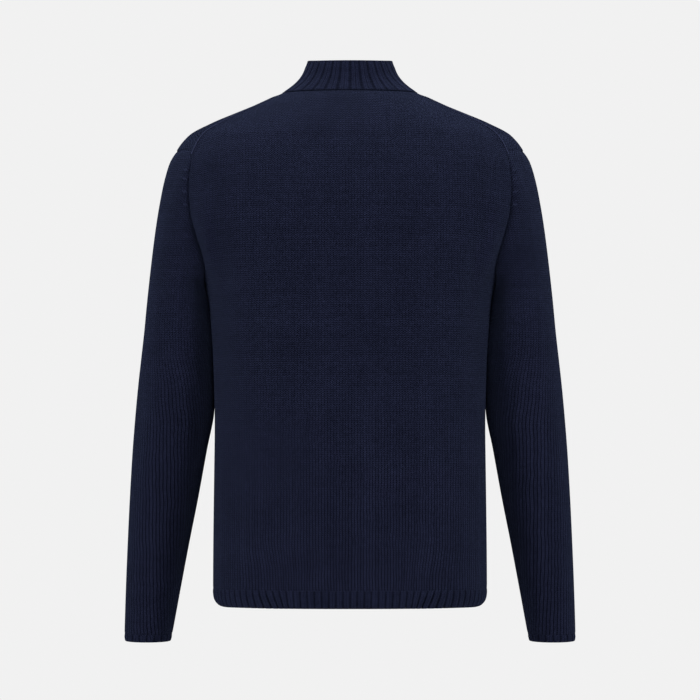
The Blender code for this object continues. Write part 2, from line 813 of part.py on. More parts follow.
def collar_skin(shares, heights, seam_points):
    """The collar's points: row by height from 0 to 1, column by share round it."""
    along = lengths_along(seam_points)
    wanted = shares * along[-1]
    base = np.stack([np.interp(wanted, along, seam_points[:, c]) for c in range(3)], 1)
    rim = collar_rim(shares)
    straight = np.clip(1 - shares / COLLAR_STRAIGHT_SHARE, 0, 1)[:, None]
    rim[:, :1] = rim[:, :1] * (1 - straight) + ZIP_EDGE_X * straight
    behind = eased(shares / 0.5)[:, None]
    flare_power = COLLAR_FLARE_FRONT + (COLLAR_FLARE_BACK - COLLAR_FLARE_FRONT) * behind
    rows = []
    for height in heights:
        row = rim + (base - rim) * (1 - height) ** flare_power
        row[:, 2] = base[:, 2] + (rim[:, 2] - base[:, 2]) * height
        lean = COLLAR_CURL * eased((height - COLLAR_CURL_START) / (1 - COLLAR_CURL_START))
        row[:, :2] -= unit(row[:, :2]) * lean * behind
        rows.append(row)
    return np.array(rows)


def open_grid_normals(points):
    normals = unit(np.cross(np.gradient(points, axis=1), np.gradient(points, axis=0)))
    outward = points.copy()
    outward[..., 2] = 0.0
    if (normals * outward).sum() < 0:
        normals = -normals
    normals[:, -1, 0] = 0.0
    return unit(normals)


def work_out_collar():
    places, seam_points = neck_seam()
    along = lengths_along(seam_points)
    shares = along / along[-1]
    coarse = collar_skin(shares, np.linspace(0, 1, 9), seam_points)
    collar_normals = open_grid_normals(coarse)[0]
    body_normals = np.array([body_normal(t, z) for t, z in places])
    normals = unit(collar_normals + body_normals)
    normals[-1, 0] = 0.0
    return {
        "seam": seam_points,
        "shares": shares,
        "normals": unit(normals),
        "front": unit(normals[: NECKLINE_ROWS + 1]),
        "back": unit(normals[NECKLINE_ROWS:]),
    }


def collar_piece(collar):
    columns = COLLAR_RIBS_HALF * len(RIB_SHAPE)
    shares = np.arange(columns + 1) / columns
    base = collar_skin(shares, COLLAR_HEIGHTS, collar["seam"])
    normals = open_grid_normals(base)
    seam_normals = [np.interp(shares, collar["shares"], collar["normals"][:, c]) for c in range(3)]
    normals[0] = unit(np.stack(seam_normals, 1))
    shape = np.append(np.tile(RIB_SHAPE, COLLAR_RIBS_HALF), RIB_SHAPE[0])
    rise = np.outer(COLLAR_RISE, shape * RIB_RELIEF)[:, :, None]
    outer, inner = rib_rows(base, normals, rise, RIB_WALL)
    part_from(outer, inner, 0, slice(None), unit(base[1] - base[0]))
    outer = np.concatenate([outer, mirrored(outer)[:, -2::-1]], 1)
    inner = np.concatenate([inner, mirrored(inner)[:, -2::-1]], 1)
    wall_object("collar", outer, inner, False, rib_knit())


# ------------------------------------------------------------------- zip


def front_line(x, depth, collar, low_z, high_share):
    """A line up the front at a depth behind the cloth's face, from the hem into the collar."""
    wide = max(x, ZIP_EDGE_X)
    points, normals = [], []
    for z in [low_z, *zip_heights()]:
        place = (t_of_front_x(wide, z), z)
        points.append(body_point(*place))
        normals.append(body_normal(*place))
    shares = np.linspace(0, COLLAR_ZIP_SHARE, 40)
    rows = collar_skin(shares, np.linspace(0, high_share, ZIP_COLLAR_STEPS + 1), collar["seam"])
    row_normals = open_grid_normals(rows)
    for row, turned in zip(rows, row_normals):
        points.append([np.interp(wide, row[:, 0], row[:, c]) for c in range(3)])
        normals.append([np.interp(wide, row[:, 0], turned[:, c]) for c in range(3)])
    points, normals = np.array(points), unit(normals)
    points[:, 0] = x
    normals[:, 0] *= x / wide
    seam = len(zip_heights())
    normals[seam] = unit(normals[seam] + normals[seam + 1])
    kept = np.arange(len(points)) != seam + 1
    return points[kept] - unit(normals[kept]) * depth


def zip_strip(name, xs, front_depth, back_depth, collar, finish, low_z, high_share):
    outer = [front_line(x, front_depth, collar, low_z, high_share) for x in xs]
    inner = [front_line(x, back_depth, collar, low_z, high_share) for x in xs]
    outer, inner = np.stack(outer, 1), np.stack(inner, 1)
    wall_object(name, outer, inner, False, finish)
    return outer, inner


def box_mesh(name, size, bevel):
    mesh = bpy.data.meshes.new(name)
    work = bmesh.new()
    bmesh.ops.create_cube(work, size=1.0)
    bmesh.ops.scale(work, vec=[side * MM for side in size], verts=work.verts)
    if bevel:
        bmesh.ops.bevel(
            work, geom=work.edges[:], offset=bevel * MM, segments=1, affect="EDGES"
        )
    work.to_mesh(mesh)
    work.free()
    return mesh


def box_object(name, size, place, bevel, finish):
    made = new_object(name, box_mesh(name, size, bevel), finish)
    made.location = Vector(place) * MM
    return made


def helper_box(name, size, place, target, operation):
    """A box that is joined to or cut from target, and isn't a piece itself."""
    made = box_object(name, size, place, 0.0, zip_metal())
    made.hide_render = True
    made.display_type = "WIRE"
    made.parent = target.parent
    modifier = target.modifiers.new(name, "BOOLEAN")
    modifier.operation = operation
    modifier.object = made


def zip_pieces(collar):
    tape_front = BODY_WALL + SEAM_GAP
    tape_back = tape_front + TAPE_THICKNESS
    tape_xs = (CHAIN_HALF_WIDTH + SEAM_GAP, TAPE_MIDDLE_X, TAPE_OUTER_X)
    low_z = HEM_BOTTOM_Z + TAPE_ABOVE_HEM
    outer, inner = zip_strip(
        "zip_tape_left", tape_xs, tape_front, tape_back, collar, zip_cloth(),
        low_z, TAPE_TOP_SHARE,
    )
    wall_object("zip_tape_right", mirrored(outer), mirrored(inner), False, zip_cloth())
    middle = (tape_front + tape_back) / 2
    zip_strip(
        "zip_chain", (-CHAIN_HALF_WIDTH, CHAIN_HALF_WIDTH),
        middle - CHAIN_HALF_THICKNESS, middle + CHAIN_HALF_THICKNESS, collar, zip_metal(),
        low_z + BOX_SIZE[2] + SEAM_GAP, SLIDER_SHARE,
    )

    line = front_line(0.0, middle, collar, low_z, SLIDER_SHARE)
    seat, below = line[-1], line[-2]
    lean = math.atan2(seat[1] - below[1], seat[2] - below[2])
    frame = bpy.data.objects.new("slider_seat", None)
    bpy.context.scene.collection.objects.link(frame)
    frame.location = Vector(seat) * MM
    frame.rotation_euler = (-lean, 0.0, 0.0)
    slider_piece(frame)
    pull_piece(frame)
    stop_pieces(frame)
    box_piece(line)


def slider_piece(frame):
    """Two plates on a post, and the bridge that holds the pull."""
    plate_y = CHAIN_HALF_THICKNESS + SEAM_GAP + SLIDER_PLATE / 2
    size = (SLIDER_WIDTH, SLIDER_PLATE, SLIDER_LENGTH)
    slider = box_object("zip_slider", size, (0, -plate_y, 0), METAL_BEVEL, zip_metal())
    slider.parent = frame
    helper_box("slider_back_plate", size, (0, plate_y, 0), slider, "UNION")
    post = (POST_WIDTH, 2 * plate_y, POST_LENGTH)
    post_place = (0, 0, SLIDER_LENGTH / 2 - POST_BELOW_TOP)
    helper_box("slider_post", post, post_place, slider, "UNION")
    face = plate_y + SLIDER_PLATE / 2
    bridge = (BRIDGE_WIDTH, BRIDGE_HEIGHT + BRIDGE_SUNK, BRIDGE_LENGTH)
    bridge_y = -(face - BRIDGE_SUNK + bridge[1] / 2)
    helper_box("slider_bridge", bridge, (0, bridge_y, 0), slider, "UNION")
    window = (2 * BRIDGE_WIDTH, WINDOW_HEIGHT, BRIDGE_LENGTH - 2 * BRIDGE_END)
    window_y = -(face + WINDOW_SILL + WINDOW_HEIGHT / 2)
    helper_box("slider_window", window, (0, window_y, 0), slider, "DIFFERENCE")


def hinge_offset():
    """How far the pull's axis stands in front of the teeth's middle plane."""
    face = CHAIN_HALF_THICKNESS + SEAM_GAP + SLIDER_PLATE
    return face + WINDOW_SILL + WINDOW_HEIGHT / 2


def pull_piece(frame):
    """The pull tab, hanging from the bridge. Its own origin is on the hinge axis."""
    work = bmesh.new()
    half = PULL_WIDTH / 2
    bar = PULL_THICKNESS / 2
    top_x, top_z = half - PULL_TOP_CORNER, bar - PULL_TOP_CORNER
    tip = -PULL_LENGTH
    tip_x, tip_z = half - PULL_TIP_CORNER, tip + PULL_TIP_CORNER
    outline = [
        (-top_x, bar), (top_x, bar), (half, top_z), (half, tip_z),
        (tip_x, tip), (-tip_x, tip), (-half, tip_z), (-half, top_z),
    ]
    eye = PULL_EYE_HALF_WIDTH
    eye_bottom = -bar - PULL_EYE_LENGTH
    hole = [(-eye, -bar), (eye, -bar), (eye, eye_bottom), (-eye, eye_bottom)]
    edges = []
    for loop in (outline, hole):
        verts = [work.verts.new((x * MM, 0.0, z * MM)) for x, z in loop]
        edges += [
            work.edges.new((verts[i], verts[(i + 1) % len(verts)]))
            for i in range(len(verts))
        ]
    bmesh.ops.triangle_fill(work, use_beauty=True, use_dissolve=False, edges=edges)
    faces = work.faces[:]
    pushed = bmesh.ops.extrude_face_region(work, geom=faces)
    moved = [item for item in pushed["geom"] if isinstance(item, bmesh.types.BMVert)]
    bmesh.ops.translate(work, verts=moved, vec=(0.0, PULL_THICKNESS * MM, 0.0))
    bmesh.ops.translate(work, verts=work.verts, vec=(0.0, -bar * MM, 0.0))
    bmesh.ops.recalc_face_normals(work, faces=work.faces)
    mesh = bpy.data.meshes.new("zip_pull")
    work.to_mesh(mesh)
    work.free()
    pull = new_object("zip_pull", mesh, zip_metal())
    pull.location = Vector((0.0, -hinge_offset(), 0.0)) * MM
    pull.parent = frame


def stop_pieces(frame):
    """The two small stops above the slider, on the tapes' edges."""
    width, depth, height = STOP_SIZE
    x = CHAIN_HALF_WIDTH + SEAM_GAP + width / 2
    y = -(TAPE_THICKNESS / 2 + SEAM_GAP + depth / 2)
    z = SLIDER_LENGTH / 2 + STOP_ABOVE_SLIDER + height / 2
    for name, side in (("zip_stop_left", 1), ("zip_stop_right", -1)):
        stop = box_object(name, STOP_SIZE, (side * x, y, z), METAL_BEVEL, zip_metal())
        stop.parent = frame


def box_piece(line):
    """The retainer at the foot of the zip, under the teeth."""
    place = line[0] + (0.0, 0.0, BOX_SIZE[2] / 2)
    box_object("zip_box", BOX_SIZE, place, METAL_BEVEL, zip_metal())


# ------------------------------------------------------------------ build


def build_cardigan():
    for old in list(bpy.data.objects):
        bpy.data.objects.remove(old)
    sleeve = work_out_sleeve()
    collar = work_out_collar()
    body_pieces(sleeve, collar)
    sleeve_pieces(sleeve)
    hem_pieces()
    collar_piece(collar)
    zip_pieces(collar)


build_cardigan()
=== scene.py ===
import math

import bmesh
import bpy
import numpy as np
from mathutils import Matrix, Vector


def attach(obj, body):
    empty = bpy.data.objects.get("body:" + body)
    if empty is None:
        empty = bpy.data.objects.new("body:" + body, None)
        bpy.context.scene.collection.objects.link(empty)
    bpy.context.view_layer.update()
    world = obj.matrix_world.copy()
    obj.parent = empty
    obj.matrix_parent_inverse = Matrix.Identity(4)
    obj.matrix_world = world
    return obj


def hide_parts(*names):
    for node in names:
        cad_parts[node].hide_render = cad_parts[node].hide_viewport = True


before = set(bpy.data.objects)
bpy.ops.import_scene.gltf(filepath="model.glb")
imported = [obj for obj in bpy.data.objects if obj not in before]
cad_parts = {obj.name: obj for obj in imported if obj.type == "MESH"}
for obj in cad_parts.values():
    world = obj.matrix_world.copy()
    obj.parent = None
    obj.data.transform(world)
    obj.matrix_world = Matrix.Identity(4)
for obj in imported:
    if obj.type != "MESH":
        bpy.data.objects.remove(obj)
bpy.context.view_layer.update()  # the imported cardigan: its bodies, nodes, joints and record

# Shapes are worked out in millimetres, on the same skins as the solids, and made into meshes in metres.
# The front faces -Y, the wearer's left is +X, and the origin is in the middle of the neck opening.
mm = 0.001
print("frame:", len(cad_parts), "nodes")

studio = {
    "camera": (0.0, 4.5, -0.33924),  # behind the wearer, level with the middle of the garment
    "across": 0.924,  # metres that the picture spans where the garment hangs
    "sensor": 36.0,
    "paper": (0.880, 0.880, 0.880, 1.0),
    # name, place, aim, width, height, watts
    "lamps": [
        ("lamp_top", (0.0, -0.55, 2.5), (0.0, 0.0, -0.3), 2.4, 1.2, 165.0),
        ("lamp_left", (2.6, 1.9, 0.3), (0.1, 0.0, -0.35), 1.0, 1.6, 110.0),
        ("lamp_right", (-2.6, 1.9, 0.3), (-0.1, 0.0, -0.35), 1.0, 1.6, 110.0),
        ("lamp_behind", (0.0, 3.8, -0.1), (0.0, 0.0, -0.35), 1.6, 1.6, 78.0),
        ("lamp_front", (0.5, -2.8, 1.2), (0.0, 0.0, -0.3), 2.0, 1.4, 135.0),
    ],
}


def makeStudio():
    lens = bpy.data.cameras.new("camera")
    lens.sensor_width = studio["sensor"]
    lens.lens = studio["sensor"] * studio["camera"][1] / studio["across"]
    camera = bpy.data.objects.new("camera", lens)
    camera.location = studio["camera"]
    camera.rotation_euler = (math.radians(90), 0.0, math.radians(180))
    bpy.context.scene.collection.objects.link(camera)
    bpy.context.scene.camera = camera
    for name, place, aim, width, height, watts in studio["lamps"]:
        lamp = bpy.data.lights.new(name, "AREA")
        lamp.shape = "RECTANGLE"
        lamp.size, lamp.size_y, lamp.energy = width, height, watts
        holder = bpy.data.objects.new(name, lamp)
        holder.location = place
        holder.rotation_euler = (Vector(aim) - Vector(place)).to_track_quat("-Z", "Y").to_euler()
        bpy.context.scene.collection.objects.link(holder)
    world = bpy.data.worlds.new("paper")
    world.use_nodes = True
    world.node_tree.nodes["Background"].inputs["Color"].default_value = studio["paper"]
    bpy.context.scene.world = world
    bpy.context.scene.view_settings.view_transform = "Standard"
    print("studio: camera and", len(studio["lamps"]), "lamps")


makeStudio()


class Finish:  # a material and the one way that nodes are added to it
    def __init__(self, name):
        self.material = bpy.data.materials.new(name)
        self.material.use_nodes = True
        self.tree = self.material.node_tree
        self.shader = self.tree.nodes["Principled BSDF"]

    def feed(self, socket, value):
        value = getattr(value, "socket", value)
        if isinstance(value, bpy.types.NodeSocket):
            self.tree.links.new(value, socket)
        else:
            socket.default_value = value

    def node(self, kind, settings=None, inputs=None):
        made = self.tree.nodes.new(kind)
        for key, value in (settings or {}).items():
            setattr(made, key, value)
        for key, value in (inputs or {}).items():
            self.feed(made.inputs[key], value)
        return made

    def dress(self, inputs):  # sets or links the shader's own sockets
        for key, value in inputs.items():
            self.feed(self.shader.inputs[key], value)
        return self.material

    def number(self, socket):
        return Number(self, socket)

    def split(self, vector):  # the first two parts of a vector or colour
        parts = self.node("ShaderNodeSeparateXYZ", None, {"Vector": vector})
        return self.number(parts.outputs["X"]), self.number(parts.outputs["Y"])

    def clothPlace(self):  # the place on the knit or weave in mm, whole and in its two parts
        place = self.node("ShaderNodeUVMap", {"uv_map": "knit"}).outputs["UV"]
        return place, *self.split(place)

    def patches(self, vector, scale, detail=2.0):  # noise over the cloth
        inputs = {"Vector": vector, "Scale": scale, "Detail": detail}
        return self.node("ShaderNodeTexNoise", {"noise_dimensions": "2D"}, inputs)

    def noise(self, vector, scale, detail=2.0):
        return self.number(self.patches(vector, scale, detail).outputs["Fac"])

    def grain(self, scale):  # fine noise through the piece's own space
        place = self.node("ShaderNodeTexCoord").outputs["Object"]
        made = self.node("ShaderNodeTexNoise", None, {"Vector": place, "Scale": scale, "Detail": 3.0})
        return self.number(made.outputs["Fac"])

    def chance(self, x, y):  # a random value about zero for each pair of whole numbers
        pair = self.node("ShaderNodeCombineXYZ", None, {"X": x, "Y": y}).outputs["Vector"]
        made = self.node("ShaderNodeTexWhiteNoise", {"noise_dimensions": "2D"}, {"Vector": pair})
        return self.number(made.outputs["Value"]) - 0.5

    def blend(self, factor, low, high):  # one colour to another
        made = self.node("ShaderNodeMix", {"data_type": "RGBA"}, {0: factor, 6: low, 7: high})
        return made.outputs[2]

    def scale(self, colour, factor):
        made = self.node("ShaderNodeVectorMath", {"operation": "SCALE"}, {0: colour, 3: factor})
        return made.outputs["Vector"]

    def bump(self, height, distance):
        return self.node("ShaderNodeBump", None, {"Height": height, "Distance": distance}).outputs["Normal"]


class Number:  # a value socket, so that shader maths reads as maths
    def __init__(self, finish, socket):
        self.finish, self.socket = finish, socket

    def run(self, operation, *values):
        made = self.finish.node("ShaderNodeMath", {"operation": operation}, dict(enumerate((self, *values))))
        return Number(self.finish, made.outputs[0])

    def swapped(self, operation, value):
        made = self.finish.node("ShaderNodeMath", {"operation": operation}, {0: value, 1: self})
        return Number(self.finish, made.outputs[0])

    def __add__(self, other):
        return self.run("ADD", other)

    def __radd__(self, other):
        return self.swapped("ADD", other)

    def __sub__(self, other):
        return self.run("SUBTRACT", other)

    def __rsub__(self, other):
        return self.swapped("SUBTRACT", other)

    def __mul__(self, other):
        return self.run("MULTIPLY", other)

    def __rmul__(self, other):
        return self.swapped("MULTIPLY", other)

    def __truediv__(self, other):
        return self.run("DIVIDE", other)

    def __pow__(self, other):
        return self.run("POWER", other)

    def __abs__(self):
        return self.run("ABSOLUTE")

    def clamped(self, low=0.0, high=1.0):
        return self.run("MAXIMUM", low).run("MINIMUM", high)


yarn = {
    "wale": 3.85,  # mm from one column of stitches to the next
    "course": 2.80,  # mm from one row to the next
    "lean": 0.62,  # how far up a stitch's legs rise as they part, in rows
    "depth": 0.0014,  # metres of relief
    "drift": 0.03,  # how finely the columns and rows wander, and by how many mm
    "wander": 3.0,
    "ribWander": 0.3,
    "jitterScale": 0.9,  # how unevenly the legs rise
    "jitter": 0.35,
    "turnFrom": 120.0,  # mm up the cloth where rows start to tell more than columns
    "turnOver": 200.0,
    "ridge": 0.50,  # how much of the relief is columns, and how much less above
    "ridgeLess": 0.30,
    "ribRidge": 0.4,  # the share of it on the ribs, which stand up in their shape
    "loop": 0.22,  # how much of the relief is rows, and how much more above
    "loopMore": 0.44,
    "base": 0.62,  # height of the cloth between the legs of its stitches
    "legPower": 0.8,
    "leg": 0.35,
    "gap": 0.75,
    "fuzzScale": 2.6,
    "fuzz": 0.35,
    "rowShade": (0.02, 0.11),  # how far rows differ in shade below, and how much more above
    "columnShade": (0.20, 0.12),  # the same for columns, which differ less above
    "stitchShade": 0.15,
    "mottle": [(0.55, 0.75), (0.14, 0.35), (0.02, 0.35)],  # scale and strength of each mottling
    "mottleBase": 0.27,
    # painted shade: the share of the ribs' colour left in the grooves between them
    "paintedGrooveShade": 0.90,
    "valleyShading": 1.05,  # painted shade: how the stitches' height picks between the dark, shaded colour in their valleys and the lit one
    "toneLess": 0.19,
    "toneAbove": 0.05,
    "navy": (0.0090, 0.0107, 0.0244, 1.0),
    # near black: painted shade in the knit's valleys, and the dark of the strands' fibre grain
    "shadeAndGrainDark": (0.0003, 0.0003, 0.0008, 1.0),
    "rib": (0.0096, 0.0116, 0.0266, 1.0),
    # lighter than the navy: painted highlight on the raised shoulder seam's stitches
    "highlightStrand": (0.0200, 0.0235, 0.0500, 1.0),
    # lighter than the navy: painted highlight on the raised marks
    "mark": (0.0140, 0.0166, 0.0360, 1.0),
    # near black: painted shadow in the groove where the collar meets the body
    "neckSeamShadow": (0.0012, 0.0014, 0.0034, 1.0),
    "fibre": 1500.0,
    "fibreDepth": 0.0004,
    "rough": 0.86,
    "sheen": 0.030,
    "sheenRough": 0.40,
    "strandSheenRough": 0.50,
    "sheenTint": (0.42, 0.57, 1.0, 1.0),
}


def dressWool(made, colour, normal, sheenRough):
    return made.dress({
        "Base Color": colour,
        "Normal": normal,
        "Roughness": yarn["rough"],
        "Specular IOR Level": 0.0,
        "Sheen Weight": yarn["sheen"],
        "Sheen Roughness": sheenRough,
        "Sheen Tint": yarn["sheenTint"],
    })


def knitFinish(name, light, wander, grooves=False):
    made = Finish(name)
    place, plainU, plainV = made.clothPlace()
    driftU, driftV = made.split(made.patches(place, yarn["drift"]).outputs["Color"])
    u = plainU + (driftU - 0.5) * wander
    v = plainV + (driftV - 0.5) * wander
    above = ((plainV - yarn["turnFrom"]) / yarn["turnOver"]).clamped()
    # each column is a row of loops, whose two legs rise and part from its middle line
    side = abs((u / yarn["wale"]).run("FRACT") * 2.0 - 1.0)
    leg = 1.0 - (side * 2.0 - 1.0) ** 2.0
    jitter = (made.noise(place, yarn["jitterScale"], 1.0) - 0.5) * yarn["jitter"]
    loop = ((v / yarn["course"] - side * yarn["lean"] + jitter) * (2.0 * math.pi)).run("COSINE") * 0.5
    ridge = 0.333 - side * side  # each column stands up along its middle, by nothing on average
    ridges = yarn["ridge"] * (yarn["ribRidge"] if grooves else 1.0) - above * yarn["ridgeLess"]
    level = ridge * ridges + loop * (above * yarn["loopMore"] + yarn["loop"]) + yarn["base"]
    height = level * (leg.clamped(0.0001, 1.0) ** yarn["legPower"] * yarn["leg"] + yarn["gap"])
    fuzz = made.noise(place, yarn["fuzzScale"], 3.0)
    # each row, column and stitch has its own shade, over a mottling of the wool
    row = (v / yarn["course"] - side * yarn["lean"]).run("FLOOR")
    column = (u / yarn["wale"]).run("FLOOR")
    rows = made.chance(row, 3.0) * (above * yarn["rowShade"][1] + yarn["rowShade"][0])
    columns = made.chance(7.0, column) * (yarn["columnShade"][0] - above * yarn["columnShade"][1])
    mottle = sum(made.noise(place, scale) * strength for scale, strength in yarn["mottle"])
    mottle = mottle + yarn["mottleBase"]
    shade = mottle * (1.0 + rows + columns + made.chance(row, column) * yarn["stitchShade"])
    # painted shade: the ribs' colour darkens towards the grooves between them
    if grooves:
        fromGroove = abs((plainU / (2.0 * yarn["wale"]) + 0.5).run("FRACT") - 0.5)
        shade = shade * (fromGroove * 6.0).clamped(yarn["paintedGrooveShade"], 1.0)
    # painted shade: the colour darkens where the stitches' relief is low, in the valleys between their legs,
    # and is a little lighter higher up the cloth
    valleyShading = height * yarn["valleyShading"] - yarn["toneLess"] + above * yarn["toneAbove"] + (fuzz - 0.5) * yarn["fuzz"]
    colour = made.scale(made.blend(valleyShading.clamped(), yarn["shadeAndGrainDark"], light), shade)
    return dressWool(made, colour, made.bump(height + fuzz * yarn["fuzz"], yarn["depth"]), yarn["sheenRough"])


def strandFinish(name, light):
    made = Finish(name)
    fibre = made.grain(yarn["fibre"])
    colour = made.blend(fibre, yarn["shadeAndGrainDark"], light)
    return dressWool(made, colour, made.bump(fibre, yarn["fibreDepth"]), yarn["strandSheenRough"])


tapeWeave = {
    "across": 0.9,  # mm from one thread to the next
    "along": 0.8,
    "depth": 0.0002,
    "dark": (0.0020, 0.0023, 0.0050, 1.0),
    "light": (0.0060, 0.0070, 0.0150, 1.0),
    "rough": 0.7,
}


def wovenFinish():
    made = Finish("wovenTape")
    _, u, v = made.clothPlace()
    across = (u * (2.0 * math.pi / tapeWeave["across"])).run("SINE")
    along = (v * (2.0 * math.pi / tapeWeave["along"])).run("SINE")
    weave = across * along * 0.5 + 0.5
    return made.dress({
        "Base Color": made.blend(weave, tapeWeave["dark"], tapeWeave["light"]),
        "Normal": made.bump(weave, tapeWeave["depth"]),
        "Roughness": tapeWeave["rough"],
    })


metal = {
    "grain": 900.0,
    "dark": (0.045, 0.045, 0.050, 1.0),
    "light": (0.085, 0.085, 0.092, 1.0),
    "rough": 0.28,
    "roughMore": 0.2,
}


def nickelFinish():
    made = Finish("darkNickel")
    grain = made.grain(metal["grain"])
    return made.dress({
        "Base Color": made.blend(grain, metal["dark"], metal["light"]),
        "Roughness": grain * metal["roughMore"] + metal["rough"],
        "Metallic": 1.0,
    })


knit = knitFinish("navyKnit", yarn["navy"], yarn["wander"])
ribKnit = knitFinish("navyRib", yarn["rib"], yarn["ribWander"], grooves=True)
# painted highlight: the shoulder seam's strands are lighter than the knit
highlightStrand = strandFinish("seamYarnHighlight", yarn["highlightStrand"])
# painted shadow: the neck seam's strands are near black
shadowedNeckStrand = strandFinish("neckYarnShadow", yarn["neckSeamShadow"])
# painted highlight: the marks' strands are lighter than the knit
markHighlightStrand = strandFinish("markYarnHighlight", yarn["mark"])
woven = wovenFinish()
nickel = nickelFinish()
print("finishes: knit, rib, woven tape and dark nickel")


def unit(vectors):
    vectors = np.asarray(vectors, float)
    return vectors / np.maximum(np.linalg.norm(vectors, axis=-1, keepdims=True), 1e-9)


def signedPower(value, exponent):
    return np.sign(value) * np.abs(value) ** exponent


def eased(value):
    value = np.clip(value, 0, 1)
    return value * value * (3 - 2 * value)


def bell(value, middle, width):
    return np.exp(-(((value - middle) / width) ** 2))


def mirrored(points):
    return points * np.array([-1.0, 1.0, 1.0])


def bothHalves(grid):  # a half and its mirror image, which share the middle line
    return np.concatenate([grid, mirrored(grid)[:, -2::-1]], 1)


def joined(left, right):  # two halves that differ, met halfway on their middle line
    middle = (left[:, -1:] + right[:, -1:]) / 2
    return np.concatenate([left[:, :-1], middle, right[:, -2::-1]], 1)


def lengthsAlong(points):
    steps = np.linalg.norm(np.diff(points, axis=0), axis=1)
    return np.concatenate([[0.0], np.cumsum(steps)])


def atShares(points, carried, shares):  # carried, read at shares of the way along points
    along = lengthsAlong(points)
    at = shares * along[-1]
    return np.stack([np.interp(at, along, column) for column in np.transpose(carried)], 1)


def smoothColumn(places, values, at):  # a smooth curve through a table's column, with no overshoot
    places, values = np.asarray(places, float), np.asarray(values, float)
    step = np.diff(places)
    slope = np.diff(values) / step
    tangent = np.empty_like(values)
    tangent[0], tangent[-1] = slope[0], slope[-1]
    product = slope[:-1] * slope[1:]
    total = np.where(np.abs(slope[:-1] + slope[1:]) < 1e-12, 1.0, slope[:-1] + slope[1:])
    tangent[1:-1] = np.where(product > 0, 2 * product / total, 0.0)
    at = np.clip(at, places[0], places[-1])
    i = np.clip(np.searchsorted(places, at, side="right") - 1, 0, len(step) - 1)
    w = (at - places[i]) / step[i]
    return (
        (2 * w**3 - 3 * w**2 + 1) * values[i] + (w**3 - 2 * w**2 + w) * step[i] * tangent[i]
        + (3 * w**2 - 2 * w**3) * values[i + 1] + (w**3 - w**2) * step[i] * tangent[i + 1]
    )


def tableReader(rows, places):
    columns = np.array(rows, float).T
    return lambda column, at: smoothColumn(places, columns[column], at)


def readTable(table, rowStarts, columnStarts, row, column):  # between an even table's rows and columns
    i = (row - rowStarts[0]) / (rowStarts[1] - rowStarts[0])
    j = (column - columnStarts[0]) / (columnStarts[1] - columnStarts[0])
    i, j = np.clip(i, 0, len(rowStarts) - 1.001), np.clip(j, 0, len(columnStarts) - 1.001)
    i0, j0 = i.astype(int), j.astype(int)
    fi, fj = i - i0, j - j0
    low = table[i0, j0] * (1 - fj) + table[i0, j0 + 1] * fj
    high = table[i0 + 1, j0] * (1 - fj) + table[i0 + 1, j0 + 1] * fj
    return low * (1 - fi) + high * fi


seamSteps = (0.5, 1.1, 1.9, 3.0, 4.4, 6.2)  # mm from a seam to the first grid lines beside it
edgeRolls = {  # how deep the cloth turns in at an edge, and over what width, in mm
    "seam": (0.65, 1.5),
    "foot": (0.25, 1.6),
    "neck": (0.55, 1.8),
    "zip": (1.3, 1.6),
    "cuff": (0.3, 1.6),
    "hem": (0.7, 1.6),
    "collar": (0.5, 1.3),
}
insideRoll = 0.9  # the share of an edge's turn that thins the wall
farOff = 900.0  # mm, for places that no edge turns in


def clustered(length, step, start, end):  # shares of a length, closer together at its seams
    low = [0.0, *seamSteps] if start else [0.0]
    high = [length - gap for gap in (*seamSteps[::-1], 0.0)] if end else [length]
    return spread(low, high, step) / length


def spread(low, high, step):  # even places between the last of low and the first of high
    count = max(1, round((high[0] - low[-1]) / step))
    return np.array([*low, *np.linspace(low[-1], high[0], count + 1)[1:-1], *high])


def gridDistance(points, axis, end):  # how far each point is from the first or last line of its grid
    steps = np.linalg.norm(np.diff(points, axis=axis), axis=-1)
    along = np.concatenate([np.zeros_like(np.take(steps, [0], axis)), np.cumsum(steps, axis)], axis)
    return np.take(along, [-1], axis) - along if end else along


def roll(distance, edge):
    depth, width = edgeRolls[edge]
    return -depth * np.exp(-((distance / width) ** 2))


def panelWall(points, normals, rise, wall):  # outer and inner faces, turned in where rise is below zero
    outer = points + normals * rise[..., None]
    inner = points - normals * (wall - np.maximum(-rise, 0) * insideRoll)[..., None]
    return outer, inner


def piece(name, mesh, finish, node=None):
    mesh.materials.append(finish)
    made = bpy.data.objects.new(name, mesh)
    bpy.context.scene.collection.objects.link(made)
    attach(made, "cardigan")
    if node:
        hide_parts(node)
    return made


